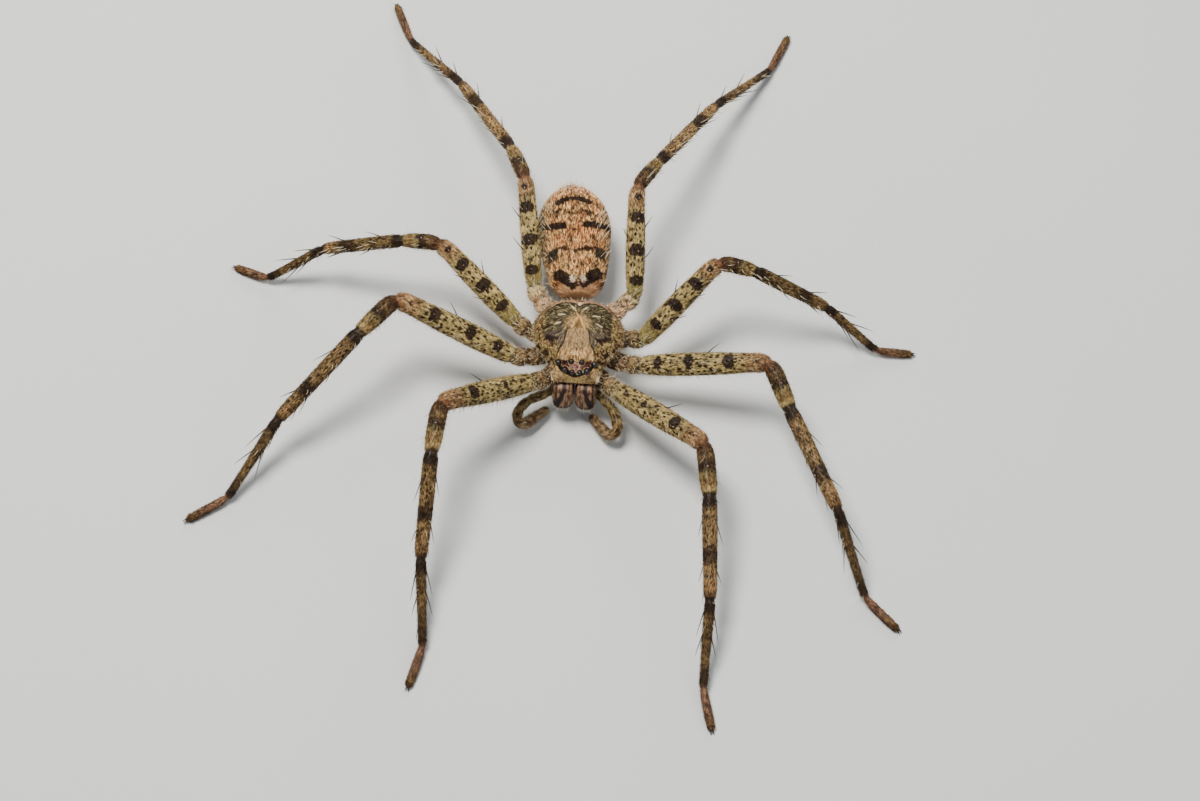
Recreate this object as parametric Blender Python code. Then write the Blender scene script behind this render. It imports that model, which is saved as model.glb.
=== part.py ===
"""A huntsman spider at life size, standing still on a flat floor with its legs spread.

The spider faces -Y, its left side is at +X and the floor is z = 0. Sizes below are in
millimetres and MM turns them into metres. Each leg follows one centreline, which runs from
its coxa through the bends at its joints to the foot, and its segments are lofts along that
line, parted by a narrow gap at each joint. A segment's object has its origin on its joint
and is parented to the segment before it.
"""

import math

import bmesh
import bpy
import numpy as np
from mathutils import Vector

MM = 0.001
JOINT_GAP = 0.2
EYE_GAP = 0.06

SIDES = {"left": 1, "right": -1}
PAIRS = (1, 2, 3, 4)
CHAIN = ("coxa", "trochanter", "femur", "patella", "tibia", "metatarsus", "tarsus")
LEG_NODES = ("femur", "patella", "tibia", "metatarsus", "tarsus")

# Length of each segment from the femur to the tarsus, by pair of legs
LENGTHS = {
    1: (8.5, 3.95, 7.5, 6.15, 3.15),
    2: (9.45, 3.65, 8.5, 6.65, 3.25),
    3: (7.9, 2.7, 6.3, 5.05, 2.55),
    4: (8.0, 2.9, 8.7, 7.35, 3.45),
}
TROCHANTER_LENGTH = 1.1

# Width of each segment at its thickest, from the coxa to the tarsus
WIDTHS = {
    1: (1.5, 1.44, 1.74, 1.36, 1.22, 0.94, 0.74),
    2: (1.5, 1.44, 1.76, 1.38, 1.24, 0.94, 0.74),
    3: (1.5, 1.4, 1.6, 1.22, 1.1, 0.84, 0.7),
    4: (1.5, 1.4, 1.48, 1.16, 1.04, 0.8, 0.68),
}
COXA_FLATNESS = 0.8

# Places of the coxa's inner and outer ends on the left side, from above
COXA_ROOTS = {1: (0.95, -1.5), 2: (1.6, -0.4), 3: (1.6, 0.75), 4: (1.15, 1.85)}
HIPS = {1: (2.2, -2.75), 2: (3.6, -1.05), 3: (3.6, 1.15), 4: (3.0, 3.8)}
COXA_ROOT_HEIGHT = 2.8
HIP_HEIGHT = 2.95
FEMUR_BASE_HEIGHT = 3.35
ANKLE_HEIGHT = 0.5
TIP_HEIGHT = 0.24

# Headings of trochanter to tarsus in degrees (0 is +X, 90 is +Y), then the heights of the
# knee, the patella's far end and the tibia's far end
POSES = {
    ("left", 1): ((-43, -38, -82, -86, -91, -76), (5.5, 5.1, 3.2)),
    ("left", 2): ((-13, -2, -65, -64, -63, -43), (5.6, 4.9, 4.5)),
    ("left", 3): ((-20, 45, -10, -7, -24, 1), (6.6, 6.4, 3.2)),
    ("left", 4): ((37, 93, 60, 61, 54, 69), (6.7, 6.3, 3.4)),
    ("right", 1): ((-149, -145, -95, -92, -84, -104), (7.2, 7.1, 3.3)),
    ("right", 2): ((-170, 167, -129, -134, -122, -145), (7.0, 6.8, 3.3)),
    ("right", 3): ((152, 142, 178, 177, -165, 160), (6.0, 5.8, 3.4)),
    ("right", 4): ((117, 99, 115, 120, 128, 112), (6.2, 6.0, 3.2)),
}
# How far from each joint the centreline starts to bend
BENDS = (0.5, 0.44, 1.1, 0.9, 0.9, 0.7)

# Thickness along each segment, as pairs of the fraction of its length and of its width
PROFILES = {
    "coxa": ((0, 0.8), (0.4, 0.95), (0.75, 1.0), (1, 0.88)),
    "trochanter": ((0, 0.88), (0.4, 1.0), (1, 0.94)),
    "femur": ((0, 0.78), (0.1, 0.88), (0.32, 1.0), (0.6, 0.98), (0.85, 0.86), (0.95, 0.84), (1, 0.72)),
    "patella": ((0, 0.84), (0.18, 0.98), (0.5, 1.0), (0.8, 0.96), (1, 0.84)),
    "tibia": ((0, 0.84), (0.1, 1.0), (0.3, 1.0), (0.7, 0.95), (0.92, 0.9), (1, 0.78)),
    "metatarsus": ((0, 0.9), (0.08, 1.0), (0.4, 0.9), (0.85, 0.8), (0.95, 0.8), (1, 0.74)),
    "tarsus": ((0, 0.8), (0.15, 0.92), (0.55, 1.0), (0.88, 0.9), (1, 0.56)),
}
RING_COUNTS = {"coxa": 5, "trochanter": 4, "femur": 9, "patella": 6, "tibia": 8, "metatarsus": 7, "tarsus": 6}
LEG_SIDES = 10

# Spines of one leg: fraction along the segment, and angle round it from the front
SPINES = {
    "femur": ((0.25, 92), (0.4, 48), (0.52, 96), (0.56, 140), (0.77, 60)),
    "tibia": ((0.24, 20), (0.3, 160), (0.7, 15), (0.74, 165)),
    "metatarsus": ((0.16, 10), (0.2, 170), (0.54, 0)),
}
SPINE_LENGTH = {"femur": 1.6, "tibia": 1.7, "metatarsus": 2.0}
SPINE_LEAN = {"femur": 28, "tibia": 62, "metatarsus": 66}
SPINE_RADIUS = 0.25
SPINE_TIP_RADIUS = 0.04
SPINE_SINK = 0.34
SPINE_SIDES = 5
CLAW_LENGTH = 0.55
CLAW_RADIUS = 0.16
CLAW_SPREAD = 14
CLAW_TIP_HEIGHT = 0.1

# Carapace: places along it from front to rear, with half width and top height at each
CARAPACE_BASE = 3.7
CARAPACE_SECTIONS = (
    (-3.36, 1.6, 3.98), (-3.3, 1.68, 4.36), (-3.14, 1.74, 4.74), (-2.9, 1.78, 5.0),
    (-2.6, 1.82, 5.22), (-2.3, 1.9, 5.42), (-1.9, 2.12, 5.62), (-1.4, 2.5, 5.78),
    (-0.8, 2.92, 5.87), (0.0, 3.22, 5.88), (0.7, 3.3, 5.82), (1.4, 3.2, 5.67),
    (2.1, 2.86, 5.38), (2.7, 2.36, 5.02), (3.1, 1.82, 4.6), (3.35, 1.2, 4.14),
)
CARAPACE_POINTS = 15
CARAPACE_RIM = 0.22
CARAPACE_SQUARENESS = 2.2
CARAPACE_STEEPNESS = 0.62
CARAPACE_UNDERCUT = 0.9

# Eyes on the left side: place from above, radius, and share of the radius that is sunk
EYES = {
    "am": ((0.27, -3.1), 0.17, 0.25),
    "al": ((0.8, -2.98), 0.23, 0.25),
    "pm": ((0.38, -2.5), 0.17, 0.25),
    "pl": ((1.3, -2.42), 0.21, 0.2),
}

# Underside of the body: places along it, half width and bottom height
STERNUM_TOP = 3.52
STERNUM_SECTIONS = (
    (-2.5, 0.7, 2.75), (-1.9, 1.2, 2.3), (-1.0, 1.7, 2.06), (0.0, 1.85, 2.0),
    (1.0, 1.6, 2.04), (1.8, 1.15, 2.3), (2.5, 0.8, 2.7), (3.1, 0.5, 2.95),
)
STERNUM_POINTS = 12
LIP = ((0.0, -2.2, 2.45), (0.42, 0.5, 0.36))
MOUTH_PLATE = ((0.74, -2.2, 2.35), (0.44, 0.72, 0.48))

# Abdomen: axis from front to rear, with half width, height above and below the axis
ABDOMEN_FRONT = (-0.22, 3.98, 3.35)
ABDOMEN_REAR = (-1.28, 13.6, 2.9)
ABDOMEN_SECTIONS = (
    (0.0, 0.9, 0.75, 0.6), (0.03, 1.4, 1.15, 1.0), (0.1, 1.86, 1.5, 1.5), (0.22, 2.2, 1.78, 1.9),
    (0.4, 2.5, 2.0, 2.15), (0.6, 2.68, 2.1, 2.15), (0.76, 2.45, 1.95, 1.8), (0.88, 1.86, 1.55, 1.25),
    (0.96, 1.08, 0.95, 0.7), (1.0, 0.45, 0.4, 0.3),
)
ABDOMEN_POINTS = 16

# Spinnerets: the base under the abdomen's tip, and the cones that stand in a ring on it
SPINNERET_GAP = 0.12
SPINNERET_BACKWARD = 0.5
SPINNERET_BASE = (0.46, 0.36)
SPINNERET_BASE_HEIGHT = 0.35
SPINNERET_BASE_SIDES = 12
SPINNERET_COUNT = 6
SPINNERET_RING = 0.26
SPINNERET_FLARE = 0.8
SPINNERET_LENGTHS = (0.75, 0.9, 0.9)
SPINNERET_RADII = (0.2, 0.08)

PEDICEL_RADIUS = 0.34
PEDICEL_PATH = ((0.0, 3.28, 3.22), (-0.08, 3.5, 3.22), (-0.2, 3.84, 3.26))

# Chelicera on the left: centre, half width and half depth of its sections, top to bottom
CHELICERA_SECTIONS = (
    ((0.79, -3.3, 3.5), 0.58, 0.44), ((0.79, -3.42, 3.2), 0.71, 0.6), ((0.8, -3.5, 2.6), 0.73, 0.68),
    ((0.82, -3.6, 2.0), 0.72, 0.64), ((0.82, -3.7, 1.6), 0.62, 0.54), ((0.82, -3.74, 1.42), 0.42, 0.38),
)
CHELICERA_POINTS = 12
CHELICERA_SQUARENESS = 0.75
FANG_PATH = ((0.86, -3.72, 1.24), (0.66, -3.72, 1.0), (0.42, -3.66, 0.94), (0.2, -3.58, 1.02))
FANG_RADII = (0.24, 0.2, 0.13, 0.05)

# Palps: joints from the root beside the mouth to the tip of the tarsus, and radii at each
PALP_PATHS = {
    "left": ((1.4, -2.7, 1.9), (1.95, -3.3, 1.85), (2.7, -4.1, 1.95), (3.12, -4.9, 1.85),
             (3.28, -5.75, 1.5), (2.75, -5.95, 0.95), (1.3, -4.2, 0.6)),
    "right": ((-1.4, -2.7, 1.9), (-1.95, -3.25, 1.85), (-3.2, -4.0, 2.05), (-3.82, -4.65, 1.95),
              (-4.05, -5.4, 1.6), (-3.5, -5.55, 1.05), (-1.85, -3.85, 0.68)),
}
PALP_RADII = (0.3, 0.36, 0.38, 0.42, 0.41, 0.42, 0.27)
PALP_BEND = 0.5
PALP_RINGS = 30
PALP_SIDES = 10

# Finishes: base colour, roughness
FINISHES = {
    "carapace": ((0.36, 0.25, 0.15), 0.62),
    "sternum": ((0.55, 0.42, 0.3), 0.6),
    "abdomen": ((0.45, 0.27, 0.15), 0.75),
    "pedicel": ((0.4, 0.28, 0.18), 0.6),
    "spinneret": ((0.42, 0.28, 0.2), 0.65),
    "eye": ((0.012, 0.008, 0.008), 0.08),
    "chelicera": ((0.36, 0.2, 0.15), 0.4),
    "fang": ((0.03, 0.012, 0.01), 0.2),
    "palp": ((0.45, 0.27, 0.09), 0.5),
    "femur": ((0.46, 0.36, 0.18), 0.6),
    "patella": ((0.3, 0.18, 0.1), 0.6),
    "tibia": ((0.28, 0.16, 0.08), 0.62),
    "metatarsus": ((0.22, 0.11, 0.06), 0.65),
    "tarsus": ((0.33, 0.14, 0.08), 0.7),
}


def clear_scene():
    """Remove the objects of the open file."""
    for item in list(bpy.data.objects):
        bpy.data.objects.remove(item, do_unlink=True)


def new_collection(name):
    """Make a collection in the scene."""
    group = bpy.data.collections.new(name)
    bpy.context.scene.collection.children.link(group)
    return group


def dress(item, finish):
    """Give an object its own material."""
    color, roughness = FINISHES[finish]
    material = bpy.data.materials.new(item.name)
    material.use_nodes = True
    shader = material.node_tree.nodes["Principled BSDF"]
    shader.inputs["Base Color"].default_value = (*color, 1.0)
    shader.inputs["Roughness"].default_value = roughness
    shader.inputs["Metallic"].default_value = 0.0
    item.data.materials.clear()
    item.data.materials.append(material)


def smooth(stations, values, where):
    """Read a smooth curve through the given values, without overshoot at flat runs."""
    stations = np.asarray(stations, float)
    values = np.asarray(values, float)
    where = np.clip(np.asarray(where, float), stations[0], stations[-1])
    chords = np.diff(values) / np.diff(stations)
    slopes = np.concatenate([[chords[0]], (chords[:-1] + chords[1:]) / 2, [chords[-1]]])
    slopes[1:-1][chords[:-1] * chords[1:] <= 0] = 0
    cell = np.clip(np.searchsorted(stations, where, side="right") - 1, 0, len(chords) - 1)
    width = stations[cell + 1] - stations[cell]
    t = (where - stations[cell]) / width
    return (values[cell] * (1 + 2 * t) * (1 - t) ** 2 + values[cell + 1] * t * t * (3 - 2 * t)
            + slopes[cell] * width * t * (1 - t) ** 2 - slopes[cell + 1] * width * t * t * (1 - t))


class Centreline:
    """A line through joints, whose corners are rounded, read by its length."""

    CORNER_STEPS = 12

    def __init__(self, joints, bends):
        joints = np.asarray(joints, float)
        runs = np.linalg.norm(np.diff(joints, axis=0), axis=1)
        points = [joints[0]]
        middles = []
        for index in range(1, len(joints) - 1):
            reach = min(bends[index - 1], 0.45 * runs[index - 1], 0.45 * runs[index])
            corner = joints[index]
            start = corner + (joints[index - 1] - corner) * reach / runs[index - 1]
            end = corner + (joints[index + 1] - corner) * reach / runs[index]
            for step in range(self.CORNER_STEPS + 1):
                t = step / self.CORNER_STEPS
                if step * 2 == self.CORNER_STEPS:
                    middles.append(len(points))
                points.append(start * (1 - t) ** 2 + corner * 2 * t * (1 - t) + end * t * t)
        points.append(joints[-1])
        self.points = np.array(points)
        steps = np.linalg.norm(np.diff(self.points, axis=0), axis=1)
        self.lengths = np.concatenate([[0.0], np.cumsum(steps)])
        self.marks = [0.0] + [self.lengths[middle] for middle in middles] + [self.lengths[-1]]

    def at(self, where):
        """Points on the line at the given lengths along it."""
        return np.stack([np.interp(where, self.lengths, self.points[:, axis]) for axis in range(3)], -1)

    def frames(self, where):
        """Points with the line's direction, the level side direction and the upward one."""
        where = np.atleast_1d(np.asarray(where, float))
        near = 0.05
        along = self.at(np.minimum(where + near, self.lengths[-1])) - self.at(np.maximum(where - near, 0))
        along /= np.linalg.norm(along, axis=1)[:, None]
        side = np.cross(along, (0.0, 0.0, 1.0))
        side /= np.linalg.norm(side, axis=1)[:, None]
        return self.at(where), along, side, np.cross(side, along)


def rings_round(places, side, up, half_widths, half_heights, count):
    """Elliptical rings of points round the given places."""
    angles = np.arange(count) * 2 * math.pi / count
    across = np.cos(angles)[None, :, None] * np.asarray(half_widths)[:, None, None] * side[:, None, :]
    over = np.sin(angles)[None, :, None] * np.asarray(half_heights)[:, None, None] * up[:, None, :]
    return places[:, None, :] + across + over


def loft(name, rings, origin, group):
    """Join rings of points into one closed mesh object with its origin at the given place."""
    count, around = rings.shape[:2]
    mesh = bpy.data.meshes.new(name)
    work = bmesh.new()
    local = (rings.reshape(-1, 3) - np.asarray(origin)) * MM
    verts = [work.verts.new(point) for point in local]
    for ring in range(count - 1):
        for spot in range(around):
            after = (spot + 1) % around
            low = ring * around
            high = low + around
            work.faces.new((verts[low + spot], verts[high + spot], verts[high + after], verts[low + after]))
    work.faces.new(verts[:around])
    work.faces.new(verts[-around:])
    bmesh.ops.recalc_face_normals(work, faces=work.faces)
    work.to_mesh(mesh)
    work.free()
    mesh.shade_smooth()
    mesh.set_sharp_from_angle(angle=math.radians(50))
    item = bpy.data.objects.new(name, mesh)
    item.location = Vector(origin) * MM
    group.objects.link(item)
    return item


def keep_largest(mesh):
    """Delete all but the largest closed surface of a mesh."""
    work = bmesh.new()
    work.from_mesh(mesh)
    left = set(work.verts)
    shells = []
    while left:
        shell = {left.pop()}
        edge = list(shell)
        while edge:
            vert = edge.pop()
            for link in vert.link_edges:
                other = link.other_vert(vert)
                if other in left:
                    left.remove(other)
                    shell.add(other)
                    edge.append(other)
        shells.append(shell)

    def spread(shell):
        places = [vert.co for vert in shell]
        return sum(max(p[axis] for p in places) - min(p[axis] for p in places) for axis in range(3))

    shells.sort(key=spread)
    scrap = [vert for shell in shells[:-1] for vert in shell]
    bmesh.ops.delete(work, geom=scrap, context="VERTS")
    work.to_mesh(mesh)
    work.free()


def combine(item, pieces, operation):
    """Fuse pieces with an object or cut them out of it, and remove the pieces."""
    group = new_collection(item.name + "_pieces")
    for piece in pieces:
        for home in list(piece.users_collection):
            home.objects.unlink(piece)
        group.objects.link(piece)
        piece.hide_render = True
        piece.display_type = "WIRE"
    change = item.modifiers.new("combine", "BOOLEAN")
    change.operation = operation
    change.operand_type = "COLLECTION"
    change.collection = group
    change.solver = "EXACT"
    bpy.context.view_layer.update()
    mesh = bpy.data.meshes.new_from_object(item.evaluated_get(bpy.context.evaluated_depsgraph_get()))
    item.modifiers.clear()
    old = item.data
    item.data = mesh
    bpy.data.meshes.remove(old)
    for piece in pieces:
        bpy.data.objects.remove(piece, do_unlink=True)
    bpy.data.collections.remove(group)
    keep_largest(item.data)


def cone(name, root, direction, length, radii, sides, group):
    """A tapered closed spike from its root along a direction."""
    mesh = bpy.data.meshes.new(name)
    work = bmesh.new()
    bmesh.ops.create_cone(work, cap_ends=True, segments=sides, radius1=radii[0] * MM,
                          radius2=radii[1] * MM, depth=length * MM)
    turn = Vector(direction).to_track_quat("Z", "X").to_matrix()
    bmesh.ops.translate(work, verts=work.verts, vec=(0, 0, length * MM / 2))
    bmesh.ops.rotate(work, verts=work.verts, cent=(0, 0, 0), matrix=turn)
    bmesh.ops.translate(work, verts=work.verts, vec=Vector(root) * MM)
    work.to_mesh(mesh)
    work.free()
    item = bpy.data.objects.new(name, mesh)
    group.objects.link(item)
    return item


def ball(name, centre, radii, group):
    """A closed ball, or an egg when its three radii differ, with its origin at its centre."""
    mesh = bpy.data.meshes.new(name)
    work = bmesh.new()
    bmesh.ops.create_icosphere(work, subdivisions=2, radius=MM)
    bmesh.ops.scale(work, verts=work.verts, vec=radii)
    work.to_mesh(mesh)
    work.free()
    mesh.shade_smooth()
    item = bpy.data.objects.new(name, mesh)
    item.location = Vector(centre) * MM
    group.objects.link(item)
    return item


def leg_joints(side, pair):
    """Joints of a leg's centreline, from the coxa's root to the tip of the foot."""
    sign = SIDES[side]
    headings, heights = POSES[side, pair]
    lengths = (TROCHANTER_LENGTH, *LENGTHS[pair])
    levels = (HIP_HEIGHT, FEMUR_BASE_HEIGHT, *heights, ANKLE_HEIGHT, TIP_HEIGHT)
    root_x, root_y = COXA_ROOTS[pair]
    hip_x, hip_y = HIPS[pair]
    joints = [(sign * root_x, root_y, COXA_ROOT_HEIGHT), (sign * hip_x, hip_y, HIP_HEIGHT)]
    for index, (heading, length) in enumerate(zip(headings, lengths)):
        rise = levels[index + 1] - levels[index]
        run = math.sqrt(length ** 2 - rise ** 2)
        x, y, z = joints[-1]
        turn = math.radians(heading)
        joints.append((x + run * math.cos(turn), y + run * math.sin(turn), z + rise))
    return joints


def segment_rings(line, pair, segment, trim_start, trim_end):
    """Rings of one segment of a leg, kept clear of its neighbours at trimmed ends."""
    index = CHAIN.index(segment)
    start, end = line.marks[index], line.marks[index + 1]
    lo = start + trim_start * JOINT_GAP / 2
    hi = end - trim_end * JOINT_GAP / 2
    where = np.linspace(lo, hi, RING_COUNTS[segment])
    stations, factors = zip(*PROFILES[segment])
    half = WIDTHS[pair][index] / 2 * smooth(stations, factors, (where - start) / (end - start))
    places, _, side, up = line.frames(where)
    tall = half * COXA_FLATNESS if segment == "coxa" else half
    return rings_round(places, side, up, half, tall, LEG_SIDES)


def segment_spines(line, side, pair, segment, group):
    """The spines that stand on one segment of a leg."""
    index = CHAIN.index(segment)
    start, end = line.marks[index], line.marks[index + 1]
    stations, factors = zip(*PROFILES[segment])
    spines = []
    for number, (fraction, angle) in enumerate(SPINES[segment]):
        place, along, across, up = (part[0] for part in line.frames(start + fraction * (end - start)))
        turn = math.radians(angle)
        outward = SIDES[side] * math.cos(turn) * across + math.sin(turn) * up
        half = WIDTHS[pair][index] / 2 * float(smooth(stations, factors, fraction))
        lean = math.radians(SPINE_LEAN[segment])
        direction = math.cos(lean) * outward + math.sin(lean) * along
        root = place + outward * half - direction * SPINE_SINK
        spines.append(cone(f"spine_{number}", root, direction, SPINE_LENGTH[segment] + SPINE_SINK,
                           (SPINE_RADIUS, SPINE_TIP_RADIUS), SPINE_SIDES, group))
    return spines


def claws(line, group):
    """The two claws at the tip of a foot."""
    place, along, _, _ = (part[0] for part in line.frames(line.lengths[-1]))
    heading = math.atan2(along[1], along[0])
    pair = []
    for sign in (-1, 1):
        turn = heading + sign * math.radians(CLAW_SPREAD)
        level = np.array((math.cos(turn), math.sin(turn), 0.0))
        root = place - level * SPINE_SINK
        tip = place + level * CLAW_LENGTH
        tip[2] = CLAW_TIP_HEIGHT
        reach = tip - root
        pair.append(cone(f"claw_{sign}", root, reach, float(np.linalg.norm(reach)),
                         (CLAW_RADIUS, SPINE_TIP_RADIUS), SPINE_SIDES, group))
    return pair


def build_leg(side, pair, group):
    """All segments of one leg beyond its coxa, each parented to the one before it."""
    line = Centreline(leg_joints(side, pair), BENDS)
    before = None
    for segment in LEG_NODES:
        rings = segment_rings(line, pair, segment, segment != "femur", segment != "tarsus")
        first = CHAIN.index(segment)
        if segment == "femur":
            first = CHAIN.index("trochanter")
            rings = np.concatenate([segment_rings(line, pair, "trochanter", 1, 0)[:-1], rings])
        if segment == "tarsus":
            rings[:, :, 2] = np.maximum(rings[:, :, 2], 0.0)
        origin = line.at(line.marks[first])
        item = loft(f"leg{pair}_{side}_{segment}", rings, origin, group)
        pieces = segment_spines(line, side, pair, segment, group) if segment in SPINES else []
        if segment == "tarsus":
            pieces = claws(line, group)
        if pieces:
            combine(item, pieces, "UNION")
        dress(item, segment)
        if before:
            item.parent = before
            item.location -= Vector(before_place)
        before, before_place = item, Vector(origin) * MM
    return line


def carapace_top(x, y):
    """Height of the carapace's upper surface at a place from above."""
    stations, halves, tops = zip(*CARAPACE_SECTIONS)
    half = float(smooth(stations, halves, y))
    top = float(smooth(stations, tops, y))
    share = min(abs(x) / half, 1.0)
    rise = (1 - share ** CARAPACE_SQUARENESS) ** CARAPACE_STEEPNESS
    return CARAPACE_BASE + CARAPACE_RIM + (top - CARAPACE_BASE - CARAPACE_RIM) * rise


def build_carapace(group):
    """The shield over the front part of the body, with a socket for each eye."""
    rings = []
    for y, half, _ in CARAPACE_SECTIONS:
        angles = np.linspace(0, math.pi, CARAPACE_POINTS)
        xs = half * np.cos(angles)
        over = [(x, y, carapace_top(x, y)) for x in xs]
        inset = half * CARAPACE_UNDERCUT
        under = [(-inset, y, CARAPACE_BASE), (0.0, y, CARAPACE_BASE), (inset, y, CARAPACE_BASE)]
        rings.append(over + under)
    item = loft("carapace", np.array(rings), (0.0, 0.0, CARAPACE_BASE), group)
    sockets = []
    for eye in EYES:
        for side in SIDES:
            place, radius = eye_place(eye, side)
            sockets.append(ball("socket", place, (radius + EYE_GAP,) * 3, group))
    combine(item, sockets, "DIFFERENCE")
    dress(item, "carapace")
    return item


def eye_place(eye, side):
    """Centre and radius of an eye, on the carapace's surface."""
    (x, y), radius, sunk = EYES[eye]
    step = 0.05
    rise_x = (carapace_top(x + step, y) - carapace_top(x - step, y)) / (2 * step)
    rise_y = (carapace_top(x, y + step) - carapace_top(x, y - step)) / (2 * step)
    outward = Vector((-rise_x, -rise_y, 1.0)).normalized()
    centre = Vector((x, y, carapace_top(x, y))) - outward * radius * sunk
    centre.x *= SIDES[side]
    return centre, radius


def build_eyes(group, parent):
    """Eight eyes in two rows."""
    for eye in EYES:
        for side in SIDES:
            centre, radius = eye_place(eye, side)
            item = ball(f"eye_{eye}_{side}", centre, (radius,) * 3, group)
            item.parent = parent
            item.location -= parent.location
            dress(item, "eye")


def build_underside(lines, group):
    """Sternum, lip and mouth plates, with the coxae of the eight legs fused to it."""
    rings = []
    for y, half, bottom in STERNUM_SECTIONS:
        angles = np.arange(STERNUM_POINTS) * 2 * math.pi / STERNUM_POINTS
        middle = (STERNUM_TOP + bottom) / 2
        tall = (STERNUM_TOP - bottom) / 2
        rings.append([(half * math.cos(a), y, middle + tall * math.sin(a)) for a in angles])
    item = loft("sternum_coxae", np.array(rings), (0.0, 0.0, STERNUM_TOP), group)
    pieces = [ball("lip", *LIP, group)]
    (plate_x, plate_y, plate_z), plate_radii = MOUTH_PLATE
    for side, sign in SIDES.items():
        pieces.append(ball("mouth_plate", (sign * plate_x, plate_y, plate_z), plate_radii, group))
        for pair in PAIRS:
            rings = segment_rings(lines[side, pair], pair, "coxa", 0, 1)
            pieces.append(loft("coxa", rings, (0.0, 0.0, 0.0), group))
    combine(item, pieces, "UNION")
    dress(item, "sternum")
    return item


def abdomen_axes():
    """Front end of the abdomen's axis, with its direction, the side one and the upward one."""
    front, rear = np.array(ABDOMEN_FRONT), np.array(ABDOMEN_REAR)
    along = (rear - front) / np.linalg.norm(rear - front)
    side = np.cross(along, (0.0, 0.0, 1.0))
    side /= np.linalg.norm(side)
    return front, along, side, np.cross(side, along)


def build_abdomen(group):
    """The hind part of the body, egg-shaped and cut off in front."""
    front, along, side, up = abdomen_axes()
    run = np.linalg.norm(np.array(ABDOMEN_REAR) - front)
    angles = np.arange(ABDOMEN_POINTS) * 2 * math.pi / ABDOMEN_POINTS
    rings = []
    for fraction, half, above, below in ABDOMEN_SECTIONS:
        middle = front + along * run * fraction
        tall = np.where(np.sin(angles) > 0, above, below) * np.sin(angles)
        wide = half * np.cos(angles)
        rings.append(middle + wide[:, None] * side + tall[:, None] * up)
    item = loft("abdomen", np.array(rings), ABDOMEN_FRONT, group)
    dress(item, "abdomen")
    return item


def tube(name, joints, bend, radii, count, group, ring_count):
    """A tube of changing thickness along a line through joints."""
    line = Centreline(joints, [bend] * (len(joints) - 2))
    where = np.linspace(0, line.lengths[-1], ring_count)
    half = smooth(line.marks, radii, where)
    places, _, side, up = line.frames(where)
    return loft(name, rings_round(places, side, up, half, half, count), joints[0], group)


def build_pedicel(group):
    """The short stalk between the two parts of the body."""
    item = tube("pedicel", PEDICEL_PATH, 0.1, (PEDICEL_RADIUS,) * 3, 10, group, 4)
    dress(item, "pedicel")
    return item


def build_spinnerets(group):
    """Six short spinnerets under the tip of the abdomen, on one small base."""
    front, along, side, up = abdomen_axes()
    run = np.linalg.norm(np.array(ABDOMEN_REAR) - front)
    before, last = (front + along * run * part[0] - up * part[3] for part in ABDOMEN_SECTIONS[-2:])
    slope = (last - before) / np.linalg.norm(last - before)
    outward = np.cross(slope, side)
    seat = (before + last) / 2 + outward * SPINNERET_GAP
    item = cone("spinnerets", seat, outward, SPINNERET_BASE_HEIGHT, SPINNERET_BASE,
                SPINNERET_BASE_SIDES, group)
    pieces = []
    heart = seat + outward * SPINNERET_BASE_HEIGHT / 2
    for index in range(SPINNERET_COUNT):
        turn = (index + 0.5) * 2 * math.pi / SPINNERET_COUNT
        offset = (side * math.cos(turn) + slope * math.sin(turn)) * SPINNERET_RING
        length = SPINNERET_LENGTHS[index % len(SPINNERET_LENGTHS)]
        lean = outward + along * SPINNERET_BACKWARD + offset * SPINNERET_FLARE
        pieces.append(cone(f"spinneret_{index}", heart + offset, lean, length, SPINNERET_RADII,
                           SPINE_SIDES, group))
    combine(item, pieces, "UNION")
    dress(item, "spinneret")
    return item


def build_chelicera(side, group):
    """One jaw, hanging below the eyes."""
    sign = SIDES[side]
    angles = np.arange(CHELICERA_POINTS) * 2 * math.pi / CHELICERA_POINTS
    rings = []
    for (x, y, z), half_width, half_depth in CHELICERA_SECTIONS:
        across = half_width * np.sign(np.cos(angles)) * np.abs(np.cos(angles)) ** CHELICERA_SQUARENESS
        deep = half_depth * np.sign(np.sin(angles)) * np.abs(np.sin(angles)) ** CHELICERA_SQUARENESS
        rings.append(np.stack([sign * (x + across), y + deep, np.full(CHELICERA_POINTS, z)], -1))
    top = CHELICERA_SECTIONS[0][0]
    item = loft(f"chelicera_{side}", np.array(rings), (sign * top[0], top[1], top[2]), group)
    dress(item, "chelicera")
    path = [(sign * x, y, z) for x, y, z in FANG_PATH]
    fang = tube(f"fang_{side}", path, 0.12, FANG_RADII, 8, group, 6)
    dress(fang, "fang")
    fang.parent = item
    fang.location -= item.location
    return item


def build_palp(side, group):
    """One palp, bent so that its foot points back to the mouth."""
    item = tube(f"palp_{side}", PALP_PATHS[side], PALP_BEND, PALP_RADII, PALP_SIDES, group, PALP_RINGS)
    dress(item, "palp")
    return item


def stand_on_origin(group):
    """Put all pieces under one empty, moved so that the middle of the footprint is the origin."""
    bpy.context.view_layer.update()
    corners = [item.matrix_world @ vert.co for item in group.objects for vert in item.data.vertices]
    middle = [(max(c[axis] for c in corners) + min(c[axis] for c in corners)) / 2 for axis in (0, 1)]
    root = bpy.data.objects.new("spider", None)
    group.objects.link(root)
    root.location = (-middle[0], -middle[1], -min(c[2] for c in corners))
    for item in group.objects:
        if item is not root and item.parent is None:
            item.parent = root


def main():
    clear_scene()
    group = new_collection("huntsman_spider")
    lines = {(side, pair): build_leg(side, pair, group) for side in SIDES for pair in PAIRS}
    build_underside(lines, group)
    carapace = build_carapace(group)
    build_eyes(group, carapace)
    build_abdomen(group)
    build_pedicel(group)
    build_spinnerets(group)
    for side in SIDES:
        build_chelicera(side, group)
        build_palp(side, group)
    stand_on_origin(group)


main()
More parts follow.
